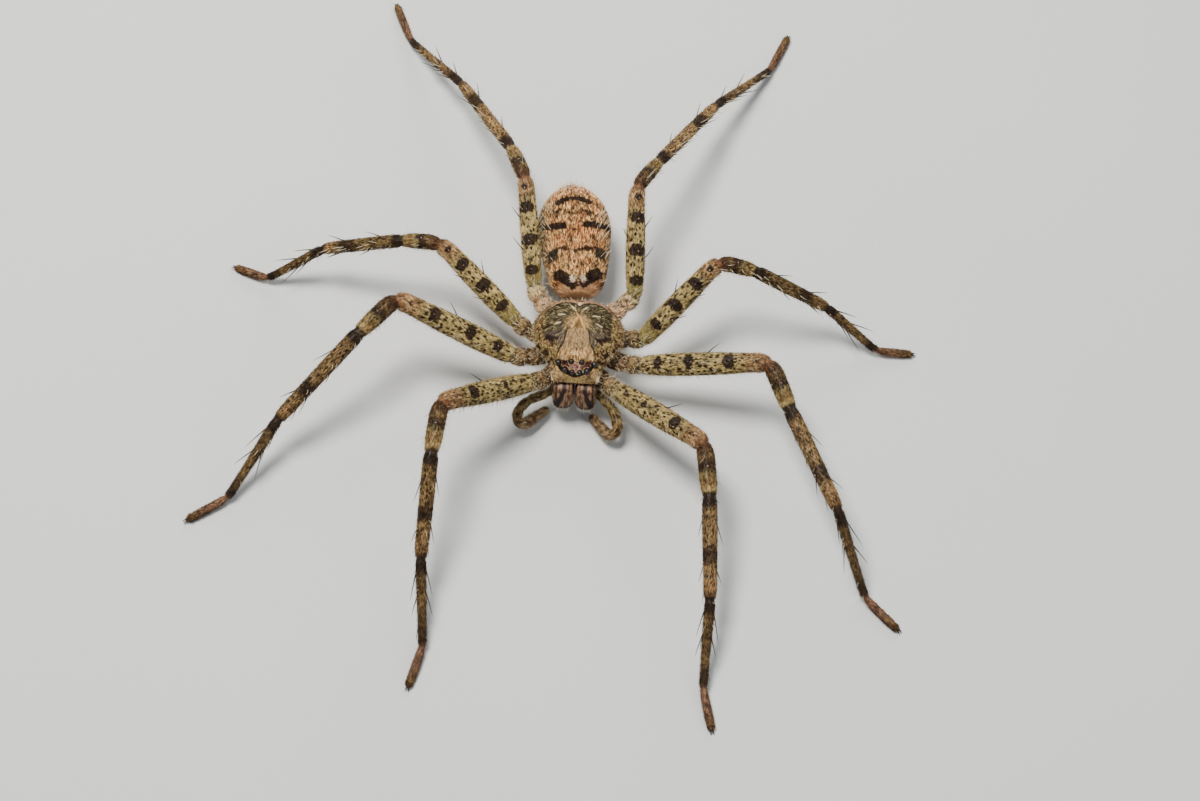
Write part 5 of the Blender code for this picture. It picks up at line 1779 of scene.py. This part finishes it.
@dataclass(frozen=True)
class Mouthparts:
    """The jaws with their fangs, and the two palps."""

    jaw = (
        ((0.79, -3.3, 3.5), 0.58, 0.44), ((0.79, -3.42, 3.2), 0.71, 0.6), ((0.8, -3.5, 2.6), 0.73, 0.68),
        ((0.82, -3.6, 2.0), 0.72, 0.64), ((0.82, -3.7, 1.6), 0.62, 0.54), ((0.82, -3.74, 1.42), 0.42, 0.38),
    )
    squareness = 0.75
    fang = ((0.86, -3.72, 1.24), (0.66, -3.72, 1.0), (0.42, -3.66, 0.94), (0.2, -3.58, 1.02))
    fang_radii = (0.24, 0.2, 0.13, 0.05)
    palps = {
        Side.LEFT: ((1.4, -2.7, 1.9), (1.95, -3.3, 1.85), (2.7, -4.1, 1.95), (3.12, -4.9, 1.85),
                    (3.28, -5.75, 1.5), (2.75, -5.95, 0.95), (1.3, -4.2, 0.6)),
        Side.RIGHT: ((-1.4, -2.7, 1.9), (-1.95, -3.25, 1.85), (-3.2, -4.0, 2.05), (-3.82, -4.65, 1.95),
                     (-4.05, -5.4, 1.6), (-3.5, -5.55, 1.05), (-1.85, -3.85, 0.68)),
    }
    palp_radii = (0.3, 0.36, 0.38, 0.42, 0.41, 0.42, 0.27)
    depth = 0.015

    def jaw_skin(self, side: Side) -> Skin:
        """One jaw: squared ovals from the face down to the fang's root."""
        down = np.array([part[0][2] for part in self.jaw])[::-1]
        levels = np.linspace(down[-1], down[0], 56)

        def along(values: list) -> Points:
            """A smooth curve down the jaw."""
            return smooth(down, tuple(values[::-1]), levels)[:, None]

        def squared(axis: int, way: Points) -> Points:
            """Places on one axis of ovals that are squared off."""
            reach = along([part[axis + 1] for part in self.jaw])
            centre = along([part[0][axis] for part in self.jaw])
            return centre + reach * np.sign(way) * np.abs(way) ** self.squareness

        x, y = squared(0, np.cos(turns(48))), squared(1, np.sin(turns(48)))
        points = np.stack([side.value * x, y, levels[:, None] + np.zeros_like(x)], -1)
        points = sunk(points, self.depth)
        place = points * np.array((side.value, 1, 1))
        lie = np.broadcast_to(np.array((0.0, -0.25, -1.0)), points.shape)
        return Skin(f"chelicera_{side.word}_skin", points, {"place": place}, 1, lie)

    def build(self, materials: Materials) -> None:
        """Make jaws, fangs and palps with their hairs."""

        def front(fields: dict) -> Points:
            """On the jaw's front and sides."""
            return np.clip(-3.3 - fields["place"][..., 1], 0.02, 1)

        def lower(fields: dict) -> Points:
            """Round the jaw's lower end."""
            return np.clip(1.9 - fields["place"][..., 2], 0, 1)

        def inner(fields: dict) -> Points:
            """On the side that faces the other jaw."""
            return (fields["place"][..., 0] < 0.16) * 1.0

        def foot(fields: dict) -> Points:
            """The palp's foot."""
            return np.clip(fields["part"] - 4.8, 0, 1)

        jaw_hairs = [Hair(900, 0.12, 0.24, 0.03, 22, 8, 12, Hairs.FUR, 91, front),
                     Hair(420, 0.14, 0.22, 0.05, 34, 16, 30, Hairs.FUR, 90, inner),
                     Hair(140, 0.3, 0.6, 0.028, 40, 30, 16, Hairs.SETA, 92, lower)]
        for side in Side:
            put_on(self.jaw_skin(side), materials, "chelicera", (f"chelicera_{side.word}",),
                   jaw_hairs)
            joints = np.array(self.fang) * np.array((side.value, 1, 1))
            fang = Tube(f"fang_{side.word}_point", joints, 0.12, self.fang_radii, 36, 20, 0.02)
            put_on(fang.skin(), materials, "fang", (f"fang_{side.word}",))
            palp = Tube(f"palp_{side.word}_skin", self.palps[side], 0.5, self.palp_radii, 130, 30, 0.05, 4,
                        0.12)
            hairs = [Hair(1500, 0.14, 0.26, 0.034, 28, 14, 16, Hairs.FUR, 93 + side.value),
                     Hair(800, 0.18, 0.3, 0.034, 45, 30, 20, Hairs.FUR, 96 + side.value, foot),
                     Hair(110, 0.35, 0.7, 0.028, 55, 48, 14, Hairs.SETA, 99 + side.value)]
            put_on(palp.skin(), materials, "palp", (f"palp_{side.word}",), hairs)


@dataclass(frozen=True)
class Tail:
    """The stalk between the two parts of the body, and the spinnerets under the tip."""

    stalk = ((0.0, 3.28, 3.22), (-0.08, 3.5, 3.22), (-0.2, 3.84, 3.26))
    stalk_radius = 0.34
    gap = 0.12
    base_height = 0.35
    base_radii = (0.46, 0.36)
    ring = 0.26
    backward = 0.5
    flare = 0.8
    lengths = (0.75, 0.9, 0.9)
    radii = (0.2, 0.17, 0.16, 0.08)

    def build(self, materials: Materials) -> None:
        """Make the stalk and the six spinnerets on their base."""
        stalk = Tube("pedicel_skin", self.stalk, 0.1, (self.stalk_radius,) * 3, 20, 28, 0.03)
        put_on(stalk.skin(), materials, "spinneret", ("pedicel",))
        front, along, side, up, run = Abdomen().axes()
        before, last = (front + along * run * part[0] - up * part[3] for part in Abdomen.sections[-2:])
        slope = unit(last - before)
        outward = np.cross(slope, side)
        seat = (before + last) / 2 + outward * self.gap
        base = Tube("spinneret_base",
                    (seat - outward * 0.1, seat + outward * 0.2, seat + outward * self.base_height),
                    0.05, (self.base_radii[0], 0.44, self.base_radii[1]), 24, 28, 0.02)
        put_on(base.skin(), materials, "spinneret", ("spinnerets",))
        heart = seat + outward * self.base_height / 2
        for index in range(6):
            turn = (index + 0.5) * math.pi / 3
            offset = (side * math.cos(turn) + slope * math.sin(turn)) * self.ring
            way = unit(outward + along * self.backward + offset * self.flare)
            root = heart + offset
            tip = root + way * self.lengths[index % 3]
            joints = (root, root + (tip - root) * 0.45, root + (tip - root) * 0.7, tip)
            tube = Tube(f"spinneret_{index}", joints, 0.05, self.radii, 30, 18, 0.02, 1, 0.15)
            hairs = [Hair(130, 0.1, 0.2, 0.025, 35, 20, 15, Hairs.SETA, 120 + index)]
            put_on(tube.skin(), materials, "spinneret", (), hairs)


def build_materials(shared: SharedGroups) -> Materials:
    """Make every material of the spider. Fangs and eyes wear the solids' own materials.

    Args:
        shared: the effects that materials share.
    Returns:
        Materials by name.
    """
    made = {}
    skin_finish = Finish(roughness=0.45, specular=0.18, bump=0.05)
    coat_finish = Finish(roughness=0.5, specular=0.12)

    def pair(marks: Markings, name: str, tip: Color, seta: Color, tip_share: float,
             skin: Finish = skin_finish,
             tuft_range: tuple = (0.45, 1.8)) -> None:
        """A skin and the coat on it, which read the same markings."""
        for kind in ("skin", "coat"):
            graph = Shading(f"{name}_{kind}")
            values = {key.capitalize(): graph.vector(key) for key in marks.vectors}
            values |= {key.capitalize(): graph.number(key) for key in marks.numbers}
            color, height = graph.group(marks.tree, values)
            if kind == "skin":
                made[f"{name}_skin"] = graph.dressed(skin, color, height)
            else:
                color = over_tufts(graph, color, tip, seta, tip_share, tuft_range)
                made[f"{name}_coat"] = graph.dressed(coat_finish, color)

    for look in LEG_LOOKS.values():
        pair(leg_markings(look, shared), look.name, (0.8, 0.58, 0.24), look.seta_color, 0.32)
    pair(carapace_markings(shared), "carapace", (0.6, 0.42, 0.18), (0.8, 0.7, 0.5), 0.25,
         tuft_range=(0.5, 1.6))
    pair(abdomen_markings(shared), "abdomen", (0.95, 0.62, 0.28), (0.85, 0.74, 0.54), 0.5,
         tuft_range=(0.3, 2.3))
    pair(plain_markings("sternum", shared, (0.2, 0.13, 0.06), (0.36, 0.25, 0.13)), "sternum",
         (0.8, 0.7, 0.52),
         (0.82, 0.76, 0.62), 0.5)
    pair(chelicera_markings(shared), "chelicera", (0.4, 0.26, 0.15), (0.85, 0.78, 0.66), 0.3,
         Finish(roughness=0.45, specular=0.22, bump=0.03))
    pair(palp_markings(shared), "palp", (0.5, 0.34, 0.12), (0.6, 0.48, 0.26), 0.35,
         Finish(roughness=0.4, specular=0.3, bump=0.03, subsurface=0.2))
    pair(plain_markings("spinneret", shared, (0.1, 0.05, 0.025), (0.26, 0.15, 0.08)), "spinneret",
         (0.7, 0.58, 0.42),
         (0.75, 0.65, 0.5), 0.4)
    made["spine"] = spine_material(shared)
    for name in ("fang", "eye"):
        made[name + "_skin"] = bpy.data.materials[name]
    return made


def plain_markings(name: str, shared: SharedGroups, dark: Color, pale: Color) -> Markings:
    """Mottling between two colours with a few dark dots."""
    graph = Markings(name, shared)
    color = graph.blend(graph.cloud(1.8, 4.0, 0.6), 0.35, 0.65, dark, pale)
    return graph.done(graph.over_by(graph.dots(0.5, 0.24, 0.6), 0.4, color, DARK_BROWN), graph.grain(9.0))


def chelicera_markings(shared: SharedGroups) -> Markings:
    """Dark upright stripes on pink-tan, darker at the jaw's lower end."""
    graph = Markings("chelicera", shared)
    x, _, z = graph.split(graph.place)
    wobble = graph.times(graph.less(graph.cloud(2.6, 3.0, stretch=(1.0, 1.0, 0.5)), 0.5), 0.34)
    down, across = graph.less(3.4, z), graph.plus(x, wobble)
    color = graph.blend(graph.cloud(1.2, 3.0, 0.6, (5.5, 5.5, 0.6)), 0.38, 0.62, (0.11, 0.056, 0.03),
                        (0.38, 0.22, 0.12))
    stripes = ((0.78, 0.26, 0.16, 0.95), (0.42, 0.03, 0.045, 0.7), (1.3, 0.02, 0.08, 0.85),
               (0.1, 0.0, 0.06, 0.9))
    for centre, slope, half, share in stripes:
        gap = graph.away(across, graph.plus(centre, graph.times(down, slope)))
        color = graph.mix(graph.step(gap, half * 0.5, half * 1.4, share, 0.0), color, (0.014, 0.006, 0.012))
    low = graph.step(graph.plus(z, wobble), 1.95, 1.65)
    return graph.done(graph.over_by(low, 0.85, color, (0.03, 0.012, 0.007)), graph.grain(10.0))


def palp_markings(shared: SharedGroups) -> Markings:
    """Amber with dark dots, and a pink-brown foot."""
    graph = Markings("palp", shared, ("part",))
    part = graph.take["Part"]
    stops = ((0.0, (0.26, 0.18, 0.06)), (0.16, (0.2, 0.145, 0.045)), (0.4, (0.19, 0.13, 0.035)),
             (0.6, (0.15, 0.08, 0.022)),
             (0.72, (0.12, 0.055, 0.018)), (0.82, (0.15, 0.08, 0.045)), (0.98, (0.13, 0.07, 0.045)))
    cloud = graph.cloud(2.6, 4.0, 0.62)
    color = graph.mix(graph.step(cloud, 0.42, 0.66, 0.0, 0.7), graph.ramp(graph.over(part, 6.0), stops),
                      (0.32, 0.22, 0.08))
    color = graph.mix(graph.step(cloud, 0.5, 0.36, 0.0, 0.8), color, (0.035, 0.018, 0.007))
    dots = graph.times(graph.dots(0.42, 0.34, 0.6), graph.step(part, 4.6, 5.2, 0.85, 0.2))
    return graph.done(graph.mix(dots, color, (0.025, 0.012, 0.005)), graph.streaks()["Height"])


def spine_material(shared: SharedGroups) -> Material:
    """Near black, browner at the root, with fine grooves."""
    graph = Shading("spine")
    tip = graph.number("tip")
    where = graph.add("ShaderNodeTexCoord").outputs["Object"]
    grain = graph.group(shared.grain, {"Place": graph.scaled(where, (1000.0,) * 3), "Fine": 20.0})["Height"]
    color = graph.mix(graph.step(tip, 0.0, 0.3), (0.09, 0.045, 0.02), (0.012, 0.007, 0.005))
    color = graph.mix(graph.step(grain, 0.4, 0.6, 0.0, 0.3), color, (0.06, 0.035, 0.02))
    return graph.dressed(Finish(roughness=0.3, specular=0.5, bump=0.01), color, grain)


@dataclass(frozen=True)
class Studio:
    """A plain pale floor, soft lights and the camera at the photo's viewing angle."""

    elevation = 60.0
    roll = 4.0
    distance = 340.0
    pixel = 0.072
    look_at = (1.86, -2.47, 0.0)
    sensor = 36.0
    lights = (
        ("key", (-70.0, 40.0, 240.0), 100.0, 1.05, (1.0, 0.97, 0.92)),
        ("fill", (190.0, -150.0, 150.0), 160.0, 0.16, (0.94, 0.97, 1.0)),
        ("back", (60.0, 210.0, 120.0), 120.0, 0.26, (1.0, 0.98, 0.95)),
    )
    floor_half = 1200.0

    def build(self) -> None:
        """Make floor, lights, surroundings and camera."""
        self.build_floor()
        for name, place, size, power, color in self.lights:
            light = bpy.data.lights.new(name, "AREA")
            light.shape = "DISK"
            light.size = size * MM
            light.energy = power
            light.color = color
            lamp = bpy.data.objects.new(name, light)
            lamp.matrix_world = self.aimed(np.array(place) + SHIFT, SHIFT + np.array((0.0, 0.0, 3.0)), 0.0)
            bpy.context.scene.collection.objects.link(lamp)
        world = bpy.data.worlds.new("studio")
        world.use_nodes = True
        sky = world.node_tree.nodes["Background"]
        sky.inputs["Color"].default_value = (0.9, 0.95, 1.0, 1.0)
        sky.inputs["Strength"].default_value = 0.3
        bpy.context.scene.world = world
        self.build_camera()

    def build_floor(self) -> None:
        """A wide flat floor of a faintly uneven pale grey."""
        graph = Shading("floor")
        where = graph.add("ShaderNodeTexCoord").outputs["Object"]
        color = graph.mix(graph.noise(where, 30.0, 3.0), (0.6, 0.61, 0.6), (0.66, 0.67, 0.66))
        material = graph.dressed(Finish(roughness=0.7, specular=0.3), color)
        half = self.floor_half * MM
        mesh = bpy.data.meshes.new("floor")
        mesh.from_pydata([(-half, -half, 0), (half, -half, 0), (half, half, 0), (-half, half, 0)], [],
                         [(0, 1, 2, 3)])
        mesh.materials.append(material)
        floor = bpy.data.objects.new("floor", mesh)
        bpy.context.scene.collection.objects.link(floor)

    def aimed(self, place: Points, target: Points, roll: float) -> Matrix:
        """Where a lamp or camera stands and how it is turned.

        Args:
            place: its place in millimetres in the model's frame.
            target: the point that it looks at.
            roll: how far it is turned about its own line of sight, in degrees.
        Returns:
            Its matrix in metres.
        """
        back = unit(place - target)
        right = unit(np.cross((0.0, 0.0, 1.0), back))
        up = np.cross(back, right)
        turn = math.radians(roll)
        level = right * math.cos(turn) + up * math.sin(turn)
        upright = up * math.cos(turn) - right * math.sin(turn)
        matrix = np.eye(4)
        matrix[:3, 0], matrix[:3, 1], matrix[:3, 2], matrix[:3, 3] = level, upright, back, place * MM
        return Matrix(matrix.tolist())

    def build_camera(self) -> None:
        """The camera: one pixel of the photo is a known size at the spider."""
        data = bpy.data.cameras.new("camera")
        data.sensor_width = self.sensor
        data.lens = self.sensor * self.distance / self.pixel / PHOTO_WIDTH
        data.clip_start = 0.01
        target = np.array(self.look_at) + SHIFT
        tilt = math.radians(self.elevation)
        place = target + self.distance * np.array((0.0, -math.cos(tilt), math.sin(tilt)))
        camera = bpy.data.objects.new("camera", data)
        camera.matrix_world = self.aimed(place, target, self.roll)
        bpy.context.scene.collection.objects.link(camera)
        bpy.context.scene.camera = camera


SHIFT = corner_shift()
INSIDE = tuple(np.array(corner) / MM for corner in CAD_BOUNDS)


def main() -> None:
    """Build the spider's pieces in order, then the studio, and note the sizes."""
    logging.basicConfig(level=logging.INFO, format="%(message)s")
    materials = build_materials(SharedGroups())
    Carapace().build(materials)
    Abdomen().build(materials)
    Underside().build(materials)
    Mouthparts().build(materials)
    Tail().build(materials)
    for leg in POSES:
        leg.build(materials)
    Studio().build()


if __name__ == "__main__":
    main()
